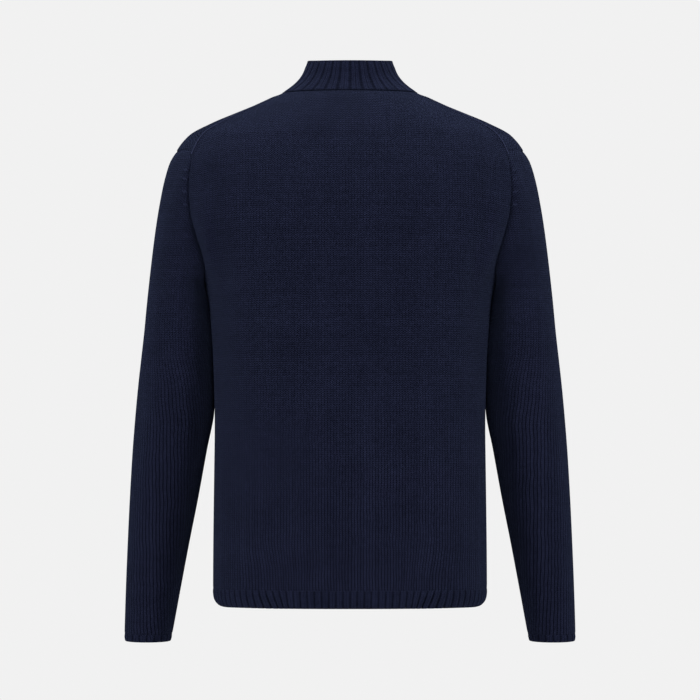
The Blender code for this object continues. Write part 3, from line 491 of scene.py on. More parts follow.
def shell(node, kind, outer, inner, place, finish, closed=False):
    # A closed wall between two grids of points, in place of a solid. place has each point's column and row of
    # the knit, in mm.
    rows, columns = outer.shape[:2]
    spans = columns if closed else columns - 1
    number = np.arange(rows * columns).reshape(rows, columns)
    wrapped = np.concatenate([number, number[:, :1]], 1) if closed else number
    texture = np.arange(rows * (spans + 1)).reshape(rows, spans + 1)
    inside = rows * columns

    def quads(grid):
        return np.stack([grid[:-1, :-1], grid[:-1, 1:], grid[1:, 1:], grid[1:, :-1]], -1).reshape(-1, 4)

    def rim(line, reverse):
        side = np.stack([line[:-1], line[1:], line[1:], line[:-1]], 1)
        return side[:, ::-1] if reverse else side

    faces = [quads(wrapped), quads(wrapped)[:, ::-1] + inside]
    maps = [quads(texture), quads(texture)[:, ::-1]]
    lines = [(wrapped[0], texture[0], True), (wrapped[-1], texture[-1], False)]
    if not closed:
        lines += [(wrapped[:, 0], texture[:, 0], False), (wrapped[:, -1], texture[:, -1], True)]
    lift = np.array([0, 0, inside, inside])
    for line, mapLine, reverse in lines:
        faces.append(rim(line, reverse) + (lift[::-1] if reverse else lift))
        maps.append(rim(mapLine, reverse))
    faces, maps = np.concatenate(faces), np.concatenate(maps)
    points = np.concatenate([outer.reshape(-1, 3), inner.reshape(-1, 3)]) * mm
    a, b, c, d = (points[faces[:, i]] for i in range(4))
    volume = (a * np.cross(b, c)).sum() + (a * np.cross(c, d)).sum()
    if volume < 0:
        faces, maps = faces[:, ::-1], maps[:, ::-1]
    mesh = bpy.data.meshes.new(f"{node}_{kind}")
    mesh.vertices.add(len(points))
    mesh.vertices.foreach_set("co", points.astype(np.float32).ravel())
    mesh.loops.add(faces.size)
    mesh.loops.foreach_set("vertex_index", faces.astype(np.int32).ravel())
    mesh.polygons.add(len(faces))
    mesh.polygons.foreach_set("loop_start", np.arange(0, faces.size, 4, dtype=np.int32))
    mesh.update(calc_edges=True)
    layer = mesh.uv_layers.new(name="knit")
    layer.data.foreach_set("uv", place.reshape(-1, 2)[maps.ravel()].astype(np.float32).ravel())
    mesh.validate()
    mesh.shade_smooth()
    made = piece(f"{node}_{kind}", mesh, finish, node)


def shellPair(node, kind, outer, inner, places, finish, closed=False):  # left, and mirrored right
    shell(f"{node}_left", kind, outer, inner, places[0], finish, closed)
    shell(f"{node}_right", kind, mirrored(outer), mirrored(inner), places[1], finish, closed)


def facetMesh(name, points, faces):  # a mesh of small solids, every face turned outwards
    mesh = bpy.data.meshes.new(name)
    mesh.from_pydata((points * mm).tolist(), [], faces)
    work = bmesh.new()
    work.from_mesh(mesh)
    bmesh.ops.recalc_face_normals(work, faces=work.faces)
    work.to_mesh(mesh)
    work.free()
    return mesh


body = {
    "hemBottom": -671.0,
    "hemTop": -648.0,
    "underarm": -255.0,
    "shoulderTip": -77.0,
    "shoulderCorner": -84.0,
    "shoulderSeam": 0.50,  # how the shoulder seam bows
    "neckFront": -60.0,
    "neckHalfWidth": 88.0,
    "zipEdge": 6.0,  # mm from the middle to the cloth's edge at the zip
    "wall": 2.5,
    "grid": 3.4,  # mm between grid lines
    "sagBack": 1.6,  # how much lower the hem hangs at the back, and at the side
    "sagSide": 3.6,
    "sagReach": 0.3,
    "sagFrom": -540.0,
    "sagOver": 100.0,
    # z, half width, depth to the back, depth to the front, squareness
    "sections": [
        (-671.0, 178.0, 115.5, 124.5, 2.70),
        (-648.0, 180.5, 117.0, 126.0, 2.70),
        (-540.0, 179.5, 117.5, 127.5, 2.75),
        (-440.0, 178.0, 117.5, 128.5, 2.75),
        (-360.0, 177.0, 120.4, 130.0, 2.75),
        (-300.0, 181.5, 122.6, 131.0, 2.70),
        (-255.0, 190.5, 123.8, 131.0, 2.60),
        (-220.0, 208.0, 123.7, 130.0, 2.48),
        (-187.0, 227.0, 122.4, 127.0, 2.36),
        (-155.0, 239.0, 119.5, 121.0, 2.26),
        (-125.0, 242.0, 114.5, 112.0, 2.18),
        (-98.0, 238.0, 108.0, 101.0, 2.12),
        (-77.0, 229.0, 101.0, 89.0, 2.06),
        (-56.0, 212.0, 93.0, 76.0, 2.02),
        (-40.0, 182.5, 86.0, 66.0, 2.00),
        (-25.0, 146.5, 78.0, 58.0, 2.00),
        (-10.0, 109.5, 69.0, 53.0, 2.00),
        (-5.0, 98.0, 64.5, 51.5, 2.00),
        (0.0, 88.0, 60.0, 50.0, 2.00),
    ],
    # soft folds: t, width in t, z, height in z, rise
    "folds": [
        (0.310, 0.045, -185.0, 62.0, 3.2),
        (0.200, 0.045, -200.0, 44.0, -4.0),
        (-0.31, 0.050, -190.0, 60.0, 2.6),
        (-0.20, 0.045, -205.0, 44.0, -3.4),
        (0.140, 0.060, -338.0, 78.0, 4.2),
        (-0.05, 0.070, -345.0, 70.0, -4.0),
        (0.40, 0.080, -330.0, 120.0, 1.6),
        (0.24, 0.070, -520.0, 110.0, 1.6),
        (0.62, 0.100, -470.0, 150.0, -1.4),
        (-0.34, 0.080, -360.0, 130.0, 1.8),
        (-0.55, 0.090, -500.0, 140.0, -1.5),
    ],
}
measured = {
    "levels": 336,  # level sections of the body, and places round each
    "turns": 401,
    "steps": 480,  # straight steps in a section, even in number
    "widest": 300.0,  # mm from the middle line that columns of stitches are followed
    "columns": 61,
    "nudge": 0.004,  # the difference in t and in z over which a slope is taken
    "nudgeZ": 1.5,
}
bodyColumn = tableReader([row[1:] for row in body["sections"]], [row[0] for row in body["sections"]])
halfTurn = np.linspace(-math.pi / 2, math.pi / 2, measured["steps"] + 1)  # centre front to centre back
sideStep = measured["steps"] // 2


def sectionLine(angle, z):  # x and y on the level section at z
    halfWidth, back, front, square = (bodyColumn(c, z) for c in range(4))
    x = halfWidth * np.abs(np.cos(angle)) ** (2 / square)
    return x, np.where(angle < 0, front, back) * signedPower(np.sin(angle), 2 / square)


def halfSection(z):  # the left half of the section at z: x, and the length from the side line
    x, y = sectionLine(halfTurn, z)
    along = lengthsAlong(np.stack([x, y], 1))
    return x, along - along[sideStep]


levels = np.linspace(body["hemBottom"], 0.0, measured["levels"])
turns = np.linspace(-1, 1, measured["turns"])
angleTable = np.empty((len(levels), len(turns)))
girth = np.empty((len(levels), 2))  # the length from the side line to the centre back, and centre front
for i, level in enumerate(levels):
    _, along = halfSection(level)
    girth[i] = along[-1], -along[0]
    angleTable[i] = np.interp(np.where(turns > 0, turns * along[-1], turns * -along[0]), along, halfTurn)


def bareSkin(t, z):
    x, y = sectionLine(readTable(angleTable, levels, turns, z, t), z)
    return np.stack([x, y, z], -1)


def stepRound(skin, t, z):  # a short step round a skin, towards the back
    return skin(np.minimum(t + measured["nudge"], 1.0), z) - skin(np.maximum(t - measured["nudge"], -1.0), z)


def bodyPoint(t, z):  # t runs from -1 at the centre front through 0 at the side to 1 at the centre back
    t, z = np.broadcast_arrays(np.asarray(t, float), np.asarray(z, float))
    centre = np.abs(t) >= 1.0
    run = stepRound(bareSkin, t, z)
    outward = unit(np.stack([run[..., 1], -run[..., 0], np.zeros_like(z)], -1))
    outward[..., 0] = np.where(centre, 0.0, outward[..., 0])
    rise = sum(
        height * bell(t, foldT, width) * bell(z, foldZ, reach)
        for foldT, width, foldZ, reach, height in body["folds"]
    )
    point = bareSkin(t, z) + outward * rise[..., None]
    point[..., 0] = np.where(centre, 0.0, np.maximum(point[..., 0], 0.0))
    sag = body["sagBack"] * eased(t / body["sagReach"]) + body["sagSide"] * bell(t, 0.0, body["sagReach"])
    point[..., 2] -= sag * eased((body["sagFrom"] - z) / body["sagOver"])
    return point


def bodyNormal(t, z):
    t, z = np.broadcast_arrays(np.asarray(t, float), np.asarray(z, float))
    above = np.minimum(z + measured["nudgeZ"], 0.0)
    below = np.maximum(z - measured["nudgeZ"], body["hemBottom"])
    normal = np.cross(stepRound(bodyPoint, t, z), bodyPoint(t, above) - bodyPoint(t, below))
    normal[..., 0] = np.where(np.abs(t) >= 1.0, 0.0, normal[..., 0])
    return unit(normal)


def girthAt(z, back):
    return np.interp(z, levels, girth[:, 0 if back else 1])


def tOfLength(length, z):
    return length / girthAt(z, length > 0)


def tOfFrontX(x, z):
    sectionX, along = halfSection(z)
    return np.interp(x, sectionX[:sideStep + 1], along[:sideStep + 1]) / -along[0]


def waleHeights(back):  # how far up its own column of stitches a place is
    offsets = np.linspace(0, measured["widest"], measured["columns"])
    z, offset = np.meshgrid(levels, offsets, indexing="ij")
    t = np.clip(1 - offset / girthAt(z, back), 0, 1) * (1 if back else -1)
    steps = np.linalg.norm(np.diff(bodyPoint(t, z), axis=0), axis=-1)
    table = np.concatenate([np.zeros((1, len(offsets))), np.cumsum(steps, 0)])
    return lambda offset, z: readTable(table, levels, offsets, z, offset)


backWales, frontWales = waleHeights(True), waleHeights(False)


def curve(places):  # places on the skin, and their points
    places = np.array(places, float)
    return bodyPoint(places[:, 0], places[:, 1]), places


armhole = {
    "reachBack": 76.0,  # mm from the side line to its deepest place
    "reachFront": 84.0,
    "topBack": 0.25,  # how it bows towards the top, and under the arm
    "topFront": 0.45,
    "bottom": 0.95,
    "middle": (body["underarm"] + body["shoulderTip"]) / 2,
    "half": (body["shoulderTip"] - body["underarm"]) / 2,
}


def armholePlace(angle):  # 0 is under the arm, and it runs over the back to the top
    z = armhole["middle"] - armhole["half"] * math.cos(angle)
    side = math.sin(angle)
    reach, top = armhole["reachBack"], armhole["topBack"]
    if side < 0:
        reach, top = -armhole["reachFront"], armhole["topFront"]
    share = 0.5 - 0.5 * math.cos(angle)
    exponent = armhole["bottom"] + (top - armhole["bottom"]) * share
    return tOfLength(reach * abs(side) ** exponent, z), z


def neckPlace(angle):
    z = body["neckFront"] * math.sin(angle)
    x = body["zipEdge"] + (body["neckHalfWidth"] - body["zipEdge"]) * math.cos(angle)
    return tOfFrontX(min(x, float(bodyColumn(0, z))), z), z


cornerAngle = math.acos((armhole["middle"] - body["shoulderCorner"]) / armhole["half"])
armholeBack = curve([armholePlace(angle) for angle in np.linspace(0, cornerAngle, 200)])
armholeFront = curve([armholePlace(angle) for angle in np.linspace(2 * math.pi, cornerAngle, 240)])
cornerT, cornerZ = armholeBack[1][-1]
cornerLength = cornerT * girthAt(cornerZ, True)
shoulderSeam = curve([
    (tOfLength(cornerLength * share ** body["shoulderSeam"], cornerZ * share), cornerZ * share)
    for share in np.linspace(1, 1e-6, 160)
])
frontNeckline = curve([neckPlace(angle) for angle in np.linspace(math.pi / 2, 1e-4, 160)])
print("skin and seam lines worked out")


def ruled(edge, middle, shares, top=None, topFrom=0):  # rows from a panel's edge to its middle line
    shares = shares[None, :, None]
    places = edge[:, None, :] * (1 - shares) + middle[:, None, :] * shares
    if top is not None:
        rise = np.clip((np.arange(len(places)) - topFrom) / (len(places) - 1 - topFrom), 0, 1)
        places = places + (top - places[-1])[None] * (rise**2)[:, None, None]
    return places[..., 0], places[..., 1]


def sideRows():  # the heights of the rows beside the side seam
    length = body["underarm"] - body["hemTop"]
    return body["hemTop"] + length * clustered(length, body["grid"], True, False)


hemPinch = {
    "place": 0.57,  # where the hem is drawn up most, and how far its ribs lean there
    "width": 0.09,
    "lean": 0.030,
    "deeper": 3.0,  # how much deeper the grooves are there
    "near": 0.42,  # a slight lean beside it
    "nearWidth": 0.2,
    "nearLean": 0.006,
    "drag": 7.0,  # mm that the columns of stitches are drawn across above it
    "dragWidth": 0.13,
    "dragFrom": -575.0,
    "dragOver": 75.0,
}
backPanel = {
    "cut": ((0.560, 0.680), 0.314),
    "across": 255.0,  # mm from the side to the middle, for the grid lines
    "ridge": 1.1,  # a ridge below the shoulder seam: height, place and width
    "ridgePlace": 2.8,
    "ridgeWidth": 1.5,
    "ridgeFoot": 2.0,  # mm below the corner where it starts
    "ridgeTop": -3.0,  # where it has faded out towards the neck, and over how far
    "ridgeFade": 18.0,
    # creases: from x, z to x, z as seen from behind, width, rise
    "creases": [
        (-141, -205, -138, -335, 11, 1.0),
        (141, -212, 138, -325, 11, 0.9),
        (-163, -190, -160, -262, 8, -1.1),
        (163, -194, 160, -260, 8, -1.0),
        (-188, -142, -181, -238, 7, 2.4),
        (188, -142, 181, -238, 7, 2.4),
        (-96, -470, -60, -560, 16, 0.5),
        (70, -430, 104, -540, 18, -0.5),
        (-40, -130, 46, -150, 16, 0.4),
        (-120, -330, -60, -352, 12, -0.5),
        (64, -352, 128, -336, 12, -0.5),
    ],
}


def creaseRise(x, z):  # soft troughs and ridges along short lines
    rise = np.zeros_like(x)
    for x0, z0, x1, z1, width, height in backPanel["creases"]:
        start, run = np.array([x0, z0], float), np.array([x1 - x0, z1 - z0], float)
        along = ((x - start[0]) * run[0] + (z - start[1]) * run[1]) / (run @ run)
        near = np.clip(along, 0, 1)
        distance = np.hypot(x - start[0] - near * run[0], z - start[1] - near * run[1])
        taper = np.clip(1 - np.abs(along - 0.5) ** 3 * 4, 0, 1)
        rise += height * taper * np.exp(-((distance / width) ** 2))
    return rise


def makeBack():
    step = body["grid"]
    sideZ = sideRows()
    armPoints, armPlaces = armholeBack
    seamPoints, seamPlaces = shoulderSeam
    armLength, seamLength = lengthsAlong(armPoints)[-1], lengthsAlong(seamPoints)[-1]
    armShares = clustered(armLength, step, False, False)
    seamShares = clustered(seamLength, step, False, True)
    arm = atShares(armPoints, armPlaces, armShares)[1:]
    seam = atShares(seamPoints, seamPlaces, seamShares)[1:]
    seam[-1] = 0.0, 0.0
    edge = np.concatenate([np.stack([np.zeros_like(sideZ), sideZ], 1), arm, seam])
    upper = np.concatenate([armShares[1:] * armLength, armLength + seamShares[1:] * seamLength])
    middleZ = np.concatenate([sideZ, body["underarm"] * (1 - upper / (armLength + seamLength))])
    middle = np.stack([np.ones_like(middleZ), middleZ], 1)
    t, z = ruled(edge, middle, clustered(backPanel["across"], step, True, False))
    t[:, -1] = 1.0
    points, normals = bodyPoint(t, z), bodyNormal(t, z)
    fromEdge = gridDistance(points, 1, False)
    foot = roll(gridDistance(points, 0, False), "foot")
    neck = roll(gridDistance(points, 0, True), "neck")
    rise = np.minimum.reduce([roll(fromEdge, "seam"), foot, neck])
    ridge = backPanel["ridge"] * bell(fromEdge, backPanel["ridgePlace"], backPanel["ridgeWidth"])
    ridge = ridge * (z > body["shoulderCorner"] - backPanel["ridgeFoot"])
    rise = rise + ridge * eased((backPanel["ridgeTop"] - z) / backPanel["ridgeFade"])
    left, right = (
        panelWall(points, normals, rise + creaseRise(sign * points[..., 0], z), body["wall"])
        for sign in (1, -1)
    )
    outer, inner = (joined(one, mirrored(other)) for one, other in zip(left, right))
    pinched = bell(t, hemPinch["place"], hemPinch["dragWidth"])
    drag = hemPinch["drag"] * pinched * eased((hemPinch["dragFrom"] - z) / hemPinch["dragOver"])
    offset = girthAt(z, True) * (1 - t) + drag
    heights = backWales(offset, z)
    place, other = (np.stack([sign * offset + yarn["wale"] / 2, heights], -1) for sign in (1, -1))
    place = np.concatenate([place, other[:, -2::-1]], 1)
    shell("back", "panel", outer, inner, place, knit)
    return outer.shape


print("back:", makeBack())

frontPanels = {
    "cut": ((0.285, 0.650), 0.157),
    "across": 250.0,
    "knitFrom": (900.0, 1900.0),  # where on the knit the left and right panels start, in mm
}


def makeFronts():
    step = body["grid"]
    sideZ = sideRows()
    armPoints, armPlaces = armholeFront
    armShares = clustered(lengthsAlong(armPoints)[-1], step, False, True)
    arm = atShares(armPoints, armPlaces, armShares)[1:]
    edge = np.concatenate([np.stack([np.zeros_like(sideZ), sideZ], 1), arm])
    neckPoints, neckPlaces = frontNeckline
    neckLength = lengthsAlong(neckPoints)[-1]
    zipLength = body["neckFront"] - body["underarm"]
    along = armShares[1:] * (zipLength + neckLength)
    straight = along <= zipLength
    zipZ = np.concatenate([sideZ, body["underarm"] + along[straight]])
    zipSide = [(float(tOfFrontX(body["zipEdge"], height)), height) for height in zipZ]
    neck = atShares(neckPoints, neckPlaces, (along[~straight] - zipLength) / neckLength)
    neck[-1] = 0.0, 0.0
    shares = clustered(frontPanels["across"], step, True, True)
    topLine = atShares(*shoulderSeam, shares)
    topLine[-1] = 0.0, 0.0
    t, z = ruled(edge, np.concatenate([zipSide, neck]), shares, topLine, len(sideZ) - 1)
    points, normals = bodyPoint(t, z), bodyNormal(t, z)
    fromZip = gridDistance(points, 1, True)
    fromSeam = np.minimum.reduce([
        gridDistance(points, 1, False),
        fromZip + (z < body["neckFront"]) * farOff,
        gridDistance(points, 0, True),
    ])
    foot = roll(gridDistance(points, 0, False), "foot")
    rise = np.minimum.reduce([roll(fromSeam, "seam"), foot, roll(fromZip, "zip")])
    outer, inner = panelWall(points, normals, rise, body["wall"])
    offset = girthAt(z, False) * (1 + np.minimum(t, 0)) + girthAt(z, True) * np.maximum(t, 0)
    heights = frontWales(np.minimum(offset, measured["widest"] - 1), z)
    places = [
        np.stack([offset * sign + start, heights], -1)
        for sign, start in zip((1, -1), frontPanels["knitFrom"])
    ]
    shellPair("front", "panel", outer, inner, places, knit)
    return outer.shape


print("fronts:", makeFronts())

sleeve = {
    "cut": ((0.400, 0.650), 0.174),
    "wall": 2.5,
    "grid": 3.6,
    "columns": 132,
    "cuffSection": 15,
    "capBlend": 4.0,  # sections over which its cap takes up the armhole's line
    "capEnds": 8,  # the section where the cap ends
    "capHalf": 48.6,  # half its level width there, and its half depth
    "capDeep": 65.0,
    "tuck": 0.6,  # how far the cap runs on under the body's edge, and how deep its faces lie
    "tuckDepths": (1.2, 2.1),
    "knitFrom": (3000.0, 4000.0),
    "knitTop": 560.0,  # the knit's height in mm where z is 0
    # under x, under z, outer x, outer z, middle y, half depth, squareness
    "sections": [
        (190.5, -255.0, 228.0, -77.0, -3.0, 58.0, 2.15),
        (190.0, -258.5, 236.5, -90.0, -3.0, 63.0, 2.15),
        (188.4, -263.0, 245.0, -116.0, -4.0, 67.0, 2.15),
        (187.0, -269.5, 251.5, -147.0, -5.0, 69.5, 2.15),
        (185.6, -277.0, 257.5, -186.0, -6.0, 70.5, 2.15),
        (184.0, -286.0, 263.0, -230.0, -7.0, 70.5, 2.20),
        (181.8, -298.0, 268.0, -275.0, -8.0, 69.5, 2.20),
        (179.4, -318.0, 272.0, -316.0, -9.0, 67.5, 2.20),
        (177.6, -350.0, 276.0, -350.0, -11.0, 64.0, 2.20),
        (178.0, -384.0, 280.0, -384.0, -13.0, 59.5, 2.15),
        (180.2, -422.0, 284.0, -422.0, -17.0, 55.5, 2.10),
        (189.7, -471.0, 288.3, -471.0, -23.0, 51.5, 2.10),
        (202.0, -537.0, 292.6, -537.0, -31.0, 47.0, 2.10),
        (214.0, -596.0, 295.9, -596.0, -39.0, 43.0, 2.10),
        (225.2, -654.0, 298.7, -654.0, -46.0, 38.5, 2.10),
        (237.2, -717.0, 301.0, -717.0, -53.0, 33.5, 2.10),
        (239.8, -727.5, 300.0, -727.5, -54.5, 32.0, 2.10),
    ],
    # place round the sleeve, width, section, sections long, rise
    "folds": [
        (0.30, 0.050, 9.2, 1.0, 1.6),
        (0.42, 0.045, 10.4, 0.9, -1.8),
        (0.78, 0.050, 9.8, 1.0, -1.8),
        (0.66, 0.050, 11.0, 1.1, 1.5),
        (0.29, 0.055, 13.3, 1.7, -2.6),
        (0.14, 0.045, 13.0, 1.2, 1.2),
        (0.015, 0.075, 3.6, 4.2, 3.1),  # where it rests against the body under the arm
    ],
}
sleeveColumn = tableReader(sleeve["sections"], range(len(sleeve["sections"])))


def sleeveOval(section, fractions):  # points round a section
    underX, underZ, outerX, outerZ, middleY, halfDepth, square = (sleeveColumn(c, section) for c in range(7))
    angle = np.linspace(0, 2 * math.pi, measured["steps"] + 1)
    lift = -signedPower(np.cos(angle), 2 / square)
    y = middleY + halfDepth * signedPower(np.sin(angle), 2 / square)
    x = (underX + outerX) / 2 + (outerX - underX) / 2 * lift
    z = (underZ + outerZ) / 2 + (outerZ - underZ) / 2 * lift
    ring = np.stack([x, y, z], 1)
    return atShares(ring, ring, np.asarray(fractions))


def sleeveAcross(points):  # how far round the sleeve, level, each point is from its outer line
    sections = np.linspace(len(sleeve["sections"]) - 1, 0, 400)
    underX, _, outerX, outerZ, middleY, halfDepth, _ = (sleeveColumn(c, sections) for c in range(7))
    half = np.where(sections < sleeve["capEnds"], sleeve["capHalf"], (outerX - underX) / 2)
    z = points[..., 2]
    outer, middle, deep, wide = (np.interp(z, outerZ, c) for c in (outerX, middleY, halfDepth, half))
    turn = np.arctan2((points[..., 1] - middle) / deep, 1 - (outer - points[..., 0]) / wide)
    turn[:, 0] = np.abs(turn[:, 0])
    angle = np.linspace(0, math.pi, 181)
    share = sleeve["capHalf"] / sleeve["capDeep"]
    arc = lengthsAlong(np.stack([1 - share * np.cos(angle), np.sin(angle)], 1))
    return -np.sign(turn) * np.interp(np.abs(turn), angle, arc) * deep


def closedLoop(count):  # the armhole once round from under the arm over the back, and its shares
    front = armholeFront[1][1:-1][::-1]
    points, places = curve(np.concatenate([armholeBack[1], front, armholeBack[1][:1]]))
    shares = np.arange(count + 1) / count
    return atShares(points, points, shares)[:-1], atShares(points, places, shares)[:-1], shares[:-1]


def gridNormals(points):
    along = np.gradient(points, axis=0)
    normals = unit(np.cross(np.roll(points, -1, 1) - np.roll(points, 1, 1), along))
    middle = points.mean(1, keepdims=True)
    return -normals if (normals[-1] * (points[-1] - middle[-1])).sum() < 0 else normals


def sleeveSkin(sections, fractions, loop):
    first = sleeveOval(0.0, fractions)
    rows = []
    for section in sections:
        ring = sleeveOval(section, fractions)
        hold = 1 - eased(section / sleeve["capBlend"])
        outward = unit(ring - ring.mean(0))
        rise = sum(
            height * bell((fractions - place + 0.5) % 1.0, 0.5, width) * bell(section, at, reach)
            for place, width, at, reach, height in sleeve["folds"]
        )
        rows.append(ring + (loop - first) * hold + outward * rise[:, None])
    return np.array(rows)


def makeSleeves():
    loop, loopPlaces, fractions = closedLoop(sleeve["columns"])
    numbers = np.linspace(0.0, sleeve["cuffSection"], 400)
    under, outside = (np.stack([sleeveColumn(c, numbers), sleeveColumn(c + 1, numbers)], 1) for c in (0, 2))
    along = (lengthsAlong(outside) + lengthsAlong(under)) / 2
    shares = clustered(along[-1], sleeve["grid"], True, True)
    points = sleeveSkin(np.interp(shares * along[-1], along, numbers), fractions, loop)
    normals = gridNormals(points)
    normals[0] = bodyNormal(loopPlaces[:, 0], loopPlaces[:, 1])  # so that the edges at the armhole meet
    normals[1] = unit(normals[0] + normals[1])
    fromArmhole, fromCuff = gridDistance(points, 0, False), gridDistance(points, 0, True)
    rise = np.minimum(roll(fromArmhole, "seam"), roll(fromCuff, "cuff"))
    faces = panelWall(points, normals, rise, sleeve["wall"])
    tuck = unit(points[0] - points[1]) * sleeve["tuck"]
    outer, inner = (
        np.concatenate([(points[0] - normals[0] * depth + tuck)[None], face])
        for face, depth in zip(faces, sleeve["tuckDepths"])
    )
    heights, across = sleeve["knitTop"] + outer[..., 2], sleeveAcross(outer)
    heights = np.concatenate([heights, heights[:, :1]], 1)
    across = np.concatenate([across, -across[:, :1]], 1)
    places = [
        np.stack([across * sign + start, heights], -1) for sign, start in zip((1, -1), sleeve["knitFrom"])
    ]
    shellPair("sleeve", "shell", outer, inner, places, knit, closed=True)
    return outer.shape


print("sleeves:", makeSleeves())

ribs = {
    "wall": 2.5,
    "columns": 8,  # grid lines to a rib
    "groove": 0.20,  # a groove's half width, as a share of a rib, and that of its flat foot
    "grooveFoot": 0.03,
    "knitLip": 0.1,  # the share of a rib on either side that its stitches leave bare
    "edge": 1.25,  # radius of the rounded free edges, and the places of their rows in radii
    "edgeSteps": (1.6, 1.0, 0.62, 0.34, 0.14, 0.03, 0.0),
    "seamSteps": (0.0, 0.6, 1.3, 2.4, 4.0),  # mm from the seam to the first rows
}
hem = {
    "backCut": ((0.560, 0.024), 0.0131),
    "frontCut": ((0.285, 0.024), 0.0066),
    "backRibs": 27,  # ribs from the side to the middle
    "frontRibs": 26,
    "step": 2.4,
    "relief": 0.75,
    "flatter": 0.40,  # how much flatter the ribs are towards the middle
    "flatterFrom": 0.68,
    "flatterOver": 0.2,
    "sunk": 0.25,  # how far the grooves lie below the panels, and the first row below its seam
    "seamSunk": 0.2,
    "riseOver": 6.0,  # mm from the seam over which the ribs rise
    "corner": 10.0,  # how far it turns in at the foot of the side
    "cornerWidth": 0.3,
}
cuff = {
    "cut": ((0.210, 0.013), 0.0027),
    "ribs": 20,
    "step": 1.6,
    "relief": 0.36,
    "proud": 0.1,
    "seamSunk": 0.3,
    "riseOver": 4.0,
}


def ribRise(phase):  # 0 in the groove and 1 on the rib
    distance = np.abs((phase + 0.5) % 1.0 - 0.5)
    return eased((distance - ribs["grooveFoot"]) / ribs["groove"])


def ribPlace(phase):  # two columns of stitches on each rib
    whole = np.floor(phase)
    part = (phase - whole - ribs["knitLip"]) / (1 - 2 * ribs["knitLip"])
    return (whole * 2 + np.clip(part, 0, 1) * 2) * yarn["wale"]


def edgeRows(length, step):  # shares from a seam to a rounded free edge
    high = [length - ribs["edge"] * gap for gap in ribs["edgeSteps"]]
    return spread(ribs["seamSteps"], high, step) / length


def ribWall(base, normals, rise, distance):  # outer and inner faces, rounded over at the free edge
    near = np.clip(1 - distance / ribs["edge"], 0, 1)
    thin = ribs["edge"] * (1 - np.sqrt(1 - near**2))
    outer = base + normals * (rise - thin)[..., None]
    inner = base - normals * (ribs["wall"] - thin)[..., None]
    return outer, inner


def wholeKnit(place):  # the knit of a half, carried on past the middle line
    other = place[:, -2::-1] * [-1.0, 1.0] + [2 * place[0, -1, 0], 0.0]
    return np.concatenate([place, other], 1)


def hemHalf(count, back):  # from the side to the middle of the back, or to the zip
    length = body["hemTop"] - body["hemBottom"]
    shares = edgeRows(length, hem["step"])
    z = body["hemTop"] - length * shares
    columns = np.arange(count * ribs["columns"] + 1) / ribs["columns"]
    last = np.array([1.0 if back else float(tOfFrontX(body["zipEdge"], height)) for height in z])
    t = last[:, None] * (columns / count)[None, :]
    pinched = bell(np.abs(t), hemPinch["place"], hemPinch["width"])
    beside = bell(np.abs(t), hemPinch["near"], hemPinch["nearWidth"])
    lean = hemPinch["lean"] * pinched + hemPinch["nearLean"] * beside
    t = t + (1 if back else -1) * lean * shares[:, None]
    t[:, 0] = 0.0
    heights = np.broadcast_to(z[:, None], t.shape)
    base, normals = bodyPoint(t, heights), unit(bodyNormal(t, heights) * [1.0, 1.0, 0.0])
    turned = 1 - np.sqrt(1 - np.clip(shares * 2.0 - 1.0, 0, 1) ** 2)
    corner = hem["corner"] * bell(t, 0.0, hem["cornerWidth"]) * turned[:, None]
    base[..., 0] = np.maximum(base[..., 0] - corner, 0.0)
    lift = eased(shares * length / hem["riseOver"])[:, None]
    flatter = hem["flatter"] * eased((np.abs(t) - hem["flatterFrom"]) / hem["flatterOver"])
    relief = hem["relief"] * (1 + hemPinch["deeper"] * pinched - flatter)
    rise = (ribRise(columns)[None, :] * relief - hem["sunk"]) * lift - hem["seamSunk"] * (1 - lift)
    rise = rise + roll(gridDistance(base, 1, False), "hem")
    distance = (1 - shares)[:, None] * length * np.ones_like(t)
    place = np.stack([np.broadcast_to(ribPlace(columns), t.shape), heights], -1)
    return *ribWall(base, normals, rise, distance), place


def makeHem():
    outer, inner, place = hemHalf(hem["backRibs"], True)
    shell(
        "hem_back", "rib", bothHalves(outer), bothHalves(inner), wholeKnit(place),
        ribKnit,
    )
    outer, inner, place = hemHalf(hem["frontRibs"], False)
    shellPair("hem_front", "rib", outer, inner, (place, place), ribKnit)


def makeCuffs():
    columns = np.arange(cuff["ribs"] * ribs["columns"]) / ribs["columns"]
    first, last = sleeve["cuffSection"], len(sleeve["sections"]) - 1
    length = sleeve["sections"][first][1] - sleeve["sections"][last][1]
    shares = edgeRows(length, cuff["step"])
    sections = first + shares * (last - first)
    base = np.array([sleeveOval(section, columns / cuff["ribs"]) for section in sections])
    normals = unit(gridNormals(base) * [1.0, 1.0, 0.0])
    lift = np.clip(shares * length / cuff["riseOver"], 0, 1)[:, None]
    rise = (ribRise(columns)[None, :] * cuff["relief"] + cuff["proud"]) * lift - cuff["seamSunk"] * (1 - lift)
    outer, inner = ribWall(base, normals, rise, (1 - shares)[:, None] * length * np.ones((1, len(columns))))
    wrapped = np.append(columns, cuff["ribs"])
    place = np.stack(np.broadcast_arrays(ribPlace(wrapped)[None, :], base[:, :1, 2]), -1)
    shellPair("cuff", "rib", outer, inner, (place, place), ribKnit, closed=True)


makeHem()
makeCuffs()
print("hem and cuffs")

